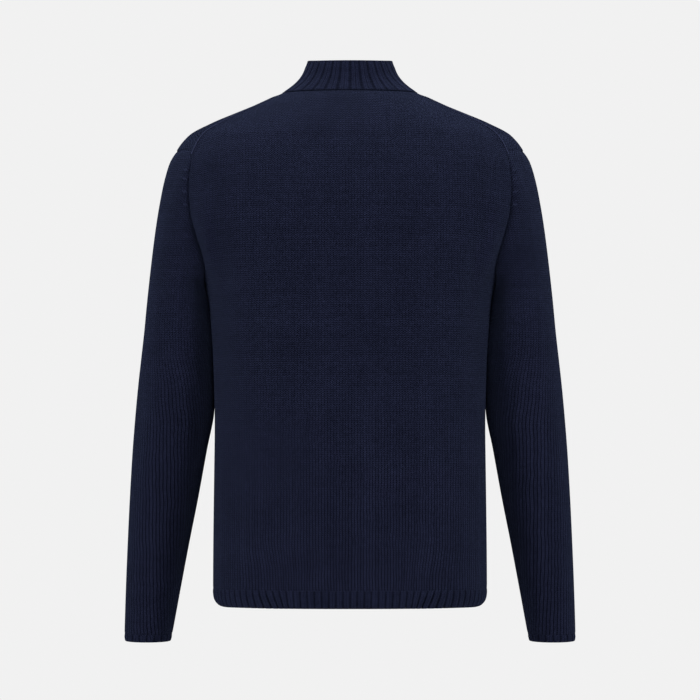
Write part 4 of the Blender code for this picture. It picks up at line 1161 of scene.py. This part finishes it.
collar = {
    "cut": ((0.500, 0.050), 0.0215),
    "halfWidth": 57.6,  # of its rim, with the rim's depths and squareness
    "back": 46.0,
    "front": 61.0,
    "square": 2.15,
    "topBack": 39.5,  # height of the rim behind and in front
    "topFront": -9.0,
    "fallStart": 0.02,
    "sideRise": 2.6,
    "sideRiseWidth": 30.0,
    "flareFront": 1.1,  # how it spreads towards its foot
    "flareBack": 2.15,
    "curl": 2.0,  # how far the rim leans in at the top of the back
    "curlFrom": 0.72,
    "rimStart": 0.85,
    "straight": 0.03,  # the share of it beside the zip that stands straight
    "ribs": 16,  # ribs in one half
    "tall": 47.0,
    "step": 2.2,
    "relief": 0.70,
    "frontRelief": 1.35,  # how much deeper the ribs are in front, and how much less that is behind
    "reliefLess": 0.65,
    "seamRelief": 0.45,  # the share of the ribs' height at the seam
    "riseOver": 3.0,
    "rimThin": 0.25,  # how much it thins towards the rim, and over how far
    "rimOver": 6.0,
}
neckSeamPlaces = np.concatenate([
    frontNeckline[1][:-1],
    np.stack([np.linspace(0, 1, 160), np.zeros(160)], 1),
])
neckSeam = bodyPoint(neckSeamPlaces[:, 0], neckSeamPlaces[:, 1])


def collarRim(share):
    first = -math.pi / 2 + body["zipEdge"] / collar["halfWidth"] * collar["rimStart"]
    angle = first + (math.pi / 2 - first) * share
    x = collar["halfWidth"] * np.abs(np.cos(angle)) ** (2 / collar["square"])
    deep = np.where(angle < 0, collar["front"], collar["back"])
    y = deep * signedPower(np.sin(angle), 2 / collar["square"])
    fall = eased(collar["fallStart"] - y / collar["front"])
    z = collar["topBack"] + (collar["topFront"] - collar["topBack"]) * fall
    z = z + collar["sideRise"] * bell(y, 0.0, collar["sideRiseWidth"])
    return np.stack([np.where(share >= 1, 0.0, x), y, z], -1)


def collarSkin(shares, heights):
    base = atShares(neckSeam, neckSeam, shares)
    rim = collarRim(shares)
    straight = np.clip(1 - shares / collar["straight"], 0, 1)[:, None]
    rim[:, :1] = rim[:, :1] * (1 - straight) + body["zipEdge"] * straight
    behind = eased(shares / 0.5)  # 0 at the zip, and 1 all round the back
    flare = collar["flareFront"] + (collar["flareBack"] - collar["flareFront"]) * behind[:, None]
    rows = []
    for height in heights:
        row = rim + (base - rim) * (1 - height) ** flare
        row[:, 2] = base[:, 2] + (rim[:, 2] - base[:, 2]) * height
        lean = collar["curl"] * eased((height - collar["curlFrom"]) / (1 - collar["curlFrom"])) * behind
        row[:, :2] -= unit(row[:, :2]) * lean[:, None]
        rows.append(row)
    return np.array(rows)


def openNormals(points):
    normals = unit(np.cross(np.gradient(points, axis=1), np.gradient(points, axis=0)))
    if (normals * points * [1.0, 1.0, 0.0]).sum() < 0:
        normals = -normals
    normals[:, -1, 0] = 0.0
    return unit(normals)


def makeCollar():
    columns = np.arange(collar["ribs"] * ribs["columns"] + 1) / ribs["columns"]
    shares = columns / collar["ribs"]
    base = collarSkin(shares, edgeRows(collar["tall"], collar["step"]))
    normals = openNormals(base)
    seam, rim = gridDistance(base, 0, False), gridDistance(base, 0, True)
    lift = collar["seamRelief"] + (1 - collar["seamRelief"]) * eased(seam / collar["riseOver"])
    relief = collar["relief"] * (collar["frontRelief"] - collar["reliefLess"] * eased(shares * 2.2 - 1.2))
    rise = ribRise(columns)[None, :] * relief * lift + roll(seam, "collar")
    rise = rise - collar["rimThin"] * eased(1 - rim / collar["rimOver"])
    outer, inner = ribWall(base, normals, rise, rim)
    place = np.stack([np.broadcast_to(ribPlace(columns), seam.shape), seam], -1)
    shell(
        "collar", "rib", bothHalves(outer), bothHalves(inner), wholeKnit(place),
        ribKnit,
    )


makeCollar()
print("collar")

seams = {
    "pitch": 2.6,  # mm between the stitches of a seam
    "rings": 5,  # facets of a stitch, along it and round it
    "corners": 8,
    # half length, half width and half height of a stitch, its lift and lean, the share of the seam that has
    # stitches, and how far the last ones sink in
    "shoulder": {"size": (1.9, 1.05, 0.9), "lift": 0.9, "lean": 0.5, "stop": 0.97, "sink": 1.7},
    "neck": {"size": (1.6, 0.75, 0.60), "lift": 0.1, "lean": 0.9, "stop": 1.0, "sink": 0.0},
    "sinkFrom": 0.86,  # the share of the stitches after which they sink, and over what share
    "sinkOver": 0.12,
}
marks = {
    "size": (2.7, 1.0, 0.85),
    "lift": 0.25,
    "lean": 0.7,
    "fromSeam": 9.0,  # mm from the armhole, and between the two strands of a mark
    "apart": 2.6,
    "heights": [-105.0, -118.0, -135.0, -149.0],
    "halves": [(4, 62, 1.0), (72, 128, -1.0)],  # the sleeve's columns over the back, and over the front
}


def stitches(name, finish, centres, ahead, outward, size, lean):  # small slanted loops of yarn as one mesh
    rings, corners = seams["rings"], seams["corners"]
    turn = np.linspace(0, 2 * math.pi, corners, endpoint=False)
    polar = np.linspace(0, math.pi, rings + 2)[1:-1]
    ball = [[np.cos(p), np.sin(p) * np.cos(a), np.sin(p) * np.sin(a)] for p in polar for a in turn]
    ball = np.array([[1.0, 0.0, 0.0], *ball, [-1.0, 0.0, 0.0]]) * size
    steps = [(i, (i + 1) % corners) for i in range(corners)]
    last = 1 + (rings - 1) * corners
    faces = [[0, 1 + b, 1 + a] for a, b in steps]
    for low in range(1, last, corners):
        high = low + corners
        faces += [[low + a, low + b, high + b, high + a] for a, b in steps]
    faces += [[last + a, last + b, last + corners] for a, b in steps]
    across = unit(np.cross(outward, ahead))
    long = unit(ahead * math.cos(lean) + across * math.sin(lean))
    frames = np.stack([long, np.cross(outward, long), outward], 1)
    points = centres[:, None, :] + np.einsum("pk,nkc->npc", ball, frames)
    every = [[corner + i * len(ball) for corner in face] for i in range(len(centres)) for face in faces]
    mesh = facetMesh(name, points.reshape(-1, 3), every)
    mesh.shade_smooth()
    piece(name, mesh, finish)


def stitchPair(name, finish, centres, ahead, outward, size, lean):  # on the left, and mirrored on the right
    ahead = unit(ahead - outward * (ahead * outward).sum(1)[:, None])
    stitches(name + "_left", finish, centres, ahead, outward, size, lean)
    stitches(name + "_right", finish, mirrored(centres), mirrored(ahead), mirrored(outward), size, -lean)


def makeSeam(name, finish, places, kind):
    line = bodyPoint(places[:, 0], places[:, 1])
    normals = bodyNormal(places[:, 0], places[:, 1])
    count = int(lengthsAlong(line)[-1] * kind["stop"] / seams["pitch"])
    parts = (np.arange(count) + 0.5) / count
    shares = parts * kind["stop"]
    outward = unit(atShares(line, normals, shares))
    sink = kind["sink"] * eased((parts - seams["sinkFrom"]) / seams["sinkOver"])
    centres = atShares(line, line + normals * kind["lift"], shares) - outward * sink[:, None]
    stitchPair(name, finish, centres, np.gradient(centres, axis=0), outward, kind["size"], kind["lean"])
    return count


def makeMarks():  # where the sleeves were narrowed on the machine, beside the armhole
    loop, _, fractions = closedLoop(sleeve["columns"])
    points = sleeveSkin(np.linspace(0.0, sleeve["capBlend"], 60), fractions, loop)
    normals = gridNormals(points)
    fromSeam = gridDistance(points, 0, False)
    centres, ahead, outward = [], [], []
    for start, stop, sign in marks["halves"]:
        half = slice(start, stop)
        row = np.abs(fromSeam[:, half] - marks["fromSeam"]).argmin(0)
        line = points[:, half][row, np.arange(len(row))]
        lineNormals = normals[:, half][row, np.arange(len(row))]
        for height in marks["heights"]:
            i = int(np.abs(line[:, 2] - height).argmin())
            i = min(max(i, 1), len(line) - 2)
            direction = unit(line[i + 1] - line[i - 1]) * sign
            middle, across = line[i] + lineNormals[i] * marks["lift"], np.cross(lineNormals[i], direction)
            for shift in (-marks["apart"] / 2, marks["apart"] / 2):
                centres.append(middle + across * shift)
                ahead.append(direction)
                outward.append(lineNormals[i])
    lines = np.array(centres), np.array(ahead), np.array(outward)
    stitchPair("sleeve_marks", markHighlightStrand, *lines, marks["size"], marks["lean"])
    return len(centres)


shoulderCount = makeSeam("shoulder_seam", highlightStrand, shoulderSeam[1], seams["shoulder"])
neckCount = makeSeam("neck_seam", shadowedNeckStrand, neckSeamPlaces, seams["neck"])
print("stitches:", shoulderCount, neckCount, makeMarks(), "a side")

zipper = {
    "tapeCut": ((0.01326, 0.712), 0.0094),
    "tapeEdges": (2.74, 16.0),  # mm from the middle
    "tapeColumns": 7,
    "tapeThick": 0.8,
    "behind": 2.94,  # how far the tape's face lies behind the cloth's
    "step": 4.0,
    "low": -669.0,
    "boxTall": 8.84,
    "tapeTop": 0.94,  # the shares of the collar's height where the tapes and the teeth end
    "teethTop": 0.74,
    "collarPart": 0.12,  # the share of the collar beside the zip that is measured
    "smoothOver": 7,
    "pitch": 2.5,
    "nudge": 0.002,
    # one tooth from above: x, along
    "tooth": [
        (3.6, 0.62), (0.9, 0.62), (0.1, 0.85), (-0.75, 0.55),
        (-0.75, -0.55), (0.1, -0.85), (0.9, -0.62), (3.6, -0.62),
    ],
    "toothHalfThick": 1.2,
    "toothLevels": [(-1.0, 0.0), (0.55, 0.0), (1.0, 0.15)],  # heights in half thicknesses, and insets
}


def readAcross(x, rows, values):  # each row's values at x
    return np.array([
        [np.interp(x, row[:, 0], value[:, c]) for c in range(3)] for row, value in zip(rows, values)
    ])


def frontLine(x, depth, lowZ, highShare):  # up the front at a depth behind the cloth's face
    wide = max(x, body["zipEdge"])
    z = np.arange(lowZ, body["neckFront"], zipper["step"])
    t = np.array([tOfFrontX(wide, height) for height in z])
    rows = collarSkin(np.linspace(0, zipper["collarPart"], 40), np.linspace(0, highShare, 12))
    points = np.concatenate([bodyPoint(t, z), readAcross(wide, rows, rows)[1:]])
    normals = np.concatenate([bodyNormal(t, z), readAcross(wide, rows, openNormals(rows))[1:]])
    points[:, 0] = x
    normals[:, 0] *= x / wide
    over = zipper["smoothOver"]
    padded = np.pad(unit(normals), ((over // 2, over // 2), (0, 0)), "edge")
    normals = unit(np.stack([np.convolve(padded[:, c], np.ones(over) / over, "valid") for c in range(3)], 1))
    return points - normals * depth, normals


def makeTapes():
    xs = np.linspace(*zipper["tapeEdges"], zipper["tapeColumns"])
    outer, inner = (
        np.stack([frontLine(x, depth, zipper["low"], zipper["tapeTop"])[0] for x in xs], 1)
        for depth in (zipper["behind"], zipper["behind"] + zipper["tapeThick"])
    )
    along = gridDistance(outer, 0, False)
    place = np.stack([np.broadcast_to(xs, along.shape), along], -1)
    shellPair("zip_tape", "strip", outer, inner, (place, place), woven)


def makeTeeth():
    depth = zipper["behind"] + zipper["tapeThick"] / 2
    line, lineNormals = frontLine(0.0, depth, zipper["low"] + zipper["boxTall"], zipper["teethTop"])
    count = int(lengthsAlong(line)[-1] / zipper["pitch"]) * 2
    shares = (np.arange(count) + 0.5) / count
    middle = atShares(line, line, shares)
    after, before = np.minimum(shares + zipper["nudge"], 1), np.maximum(shares - zipper["nudge"], 0)
    up = unit(atShares(line, line, after) - atShares(line, line, before))
    outward = atShares(line, lineNormals, shares)
    outward = unit(outward - up * (outward * up).sum(1)[:, None])
    outline = np.array(zipper["tooth"])
    corners = len(outline)
    ring = np.arange(corners)
    following = (ring + 1) % corners
    points, faces = [], []
    for i in range(count):
        side = 1.0 if i % 2 else -1.0
        flat = middle[i] + np.outer(outline[:, 0] * side, [1.0, 0.0, 0.0]) + np.outer(outline[:, 1], up[i])
        for height, inset in zipper["toothLevels"]:
            shrunk = flat + (flat.mean(0) - flat) * inset
            points.append(shrunk + outward[i] * zipper["toothHalfThick"] * height)
        first = i * corners * len(zipper["toothLevels"])
        for low in (first, first + corners):
            high = low + corners
            faces += np.stack([ring + low, following + low, following + high, ring + high], 1).tolist()
        faces.append((ring[::-1] + first).tolist())
        faces.append((ring + high).tolist())
    mesh = facetMesh("zip_teeth", np.concatenate(points), faces)
    piece("zip_teeth", mesh, nickel, "zip_chain")
    return count


makeTapes()
print("zip:", makeTeeth(), "teeth")

for name in ("zip_slider", "zip_pull", "zip_stop_left", "zip_stop_right", "zip_box"):
    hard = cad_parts[name]
    hard.data.materials.clear()
    hard.data.materials.append(nickel)

floorDisc = {
    "height": -1.15,
    "radius": 2.4,
    "colour": (0.30, 0.30, 0.30, 1.0),
    "rough": 0.9,
    "fadeFrom": 1.2,  # metres from the middle where it starts to fade to the paper, and over how far
    "fadeOver": 1.4,
}


def makeFloor():  # pale by the garment, and as bright as the paper behind it towards its rim
    mesh = bpy.data.meshes.new("floor")
    work = bmesh.new()
    bmesh.ops.create_circle(
        work, cap_ends=True, radius=floorDisc["radius"], segments=96,
        matrix=Matrix.Translation((0, 0, floorDisc["height"])),
    )
    work.to_mesh(mesh)
    work.free()
    floor = bpy.data.objects.new("floor", mesh)
    bpy.context.scene.collection.objects.link(floor)
    made = Finish("paper")
    made.dress({
        "Base Color": floorDisc["colour"],
        "Roughness": floorDisc["rough"],
        "Specular IOR Level": 0.0,
    })
    glow = made.node("ShaderNodeEmission", None, {"Color": studio["paper"]}).outputs["Emission"]
    place = made.node("ShaderNodeTexCoord").outputs["Object"]
    length = made.node("ShaderNodeVectorMath", {"operation": "LENGTH"}, {0: place})
    away = made.number(length.outputs["Value"])
    away = ((away - floorDisc["fadeFrom"]) / floorDisc["fadeOver"]).clamped()
    smooth = away * away * (3.0 - 2.0 * away)
    mixed = made.node("ShaderNodeMixShader", None, {0: smooth, 1: made.shader.outputs["BSDF"], 2: glow})
    made.feed(made.tree.nodes["Material Output"].inputs["Surface"], mixed.outputs["Shader"])
    mesh.materials.append(made.material)


makeFloor()
print("floor")
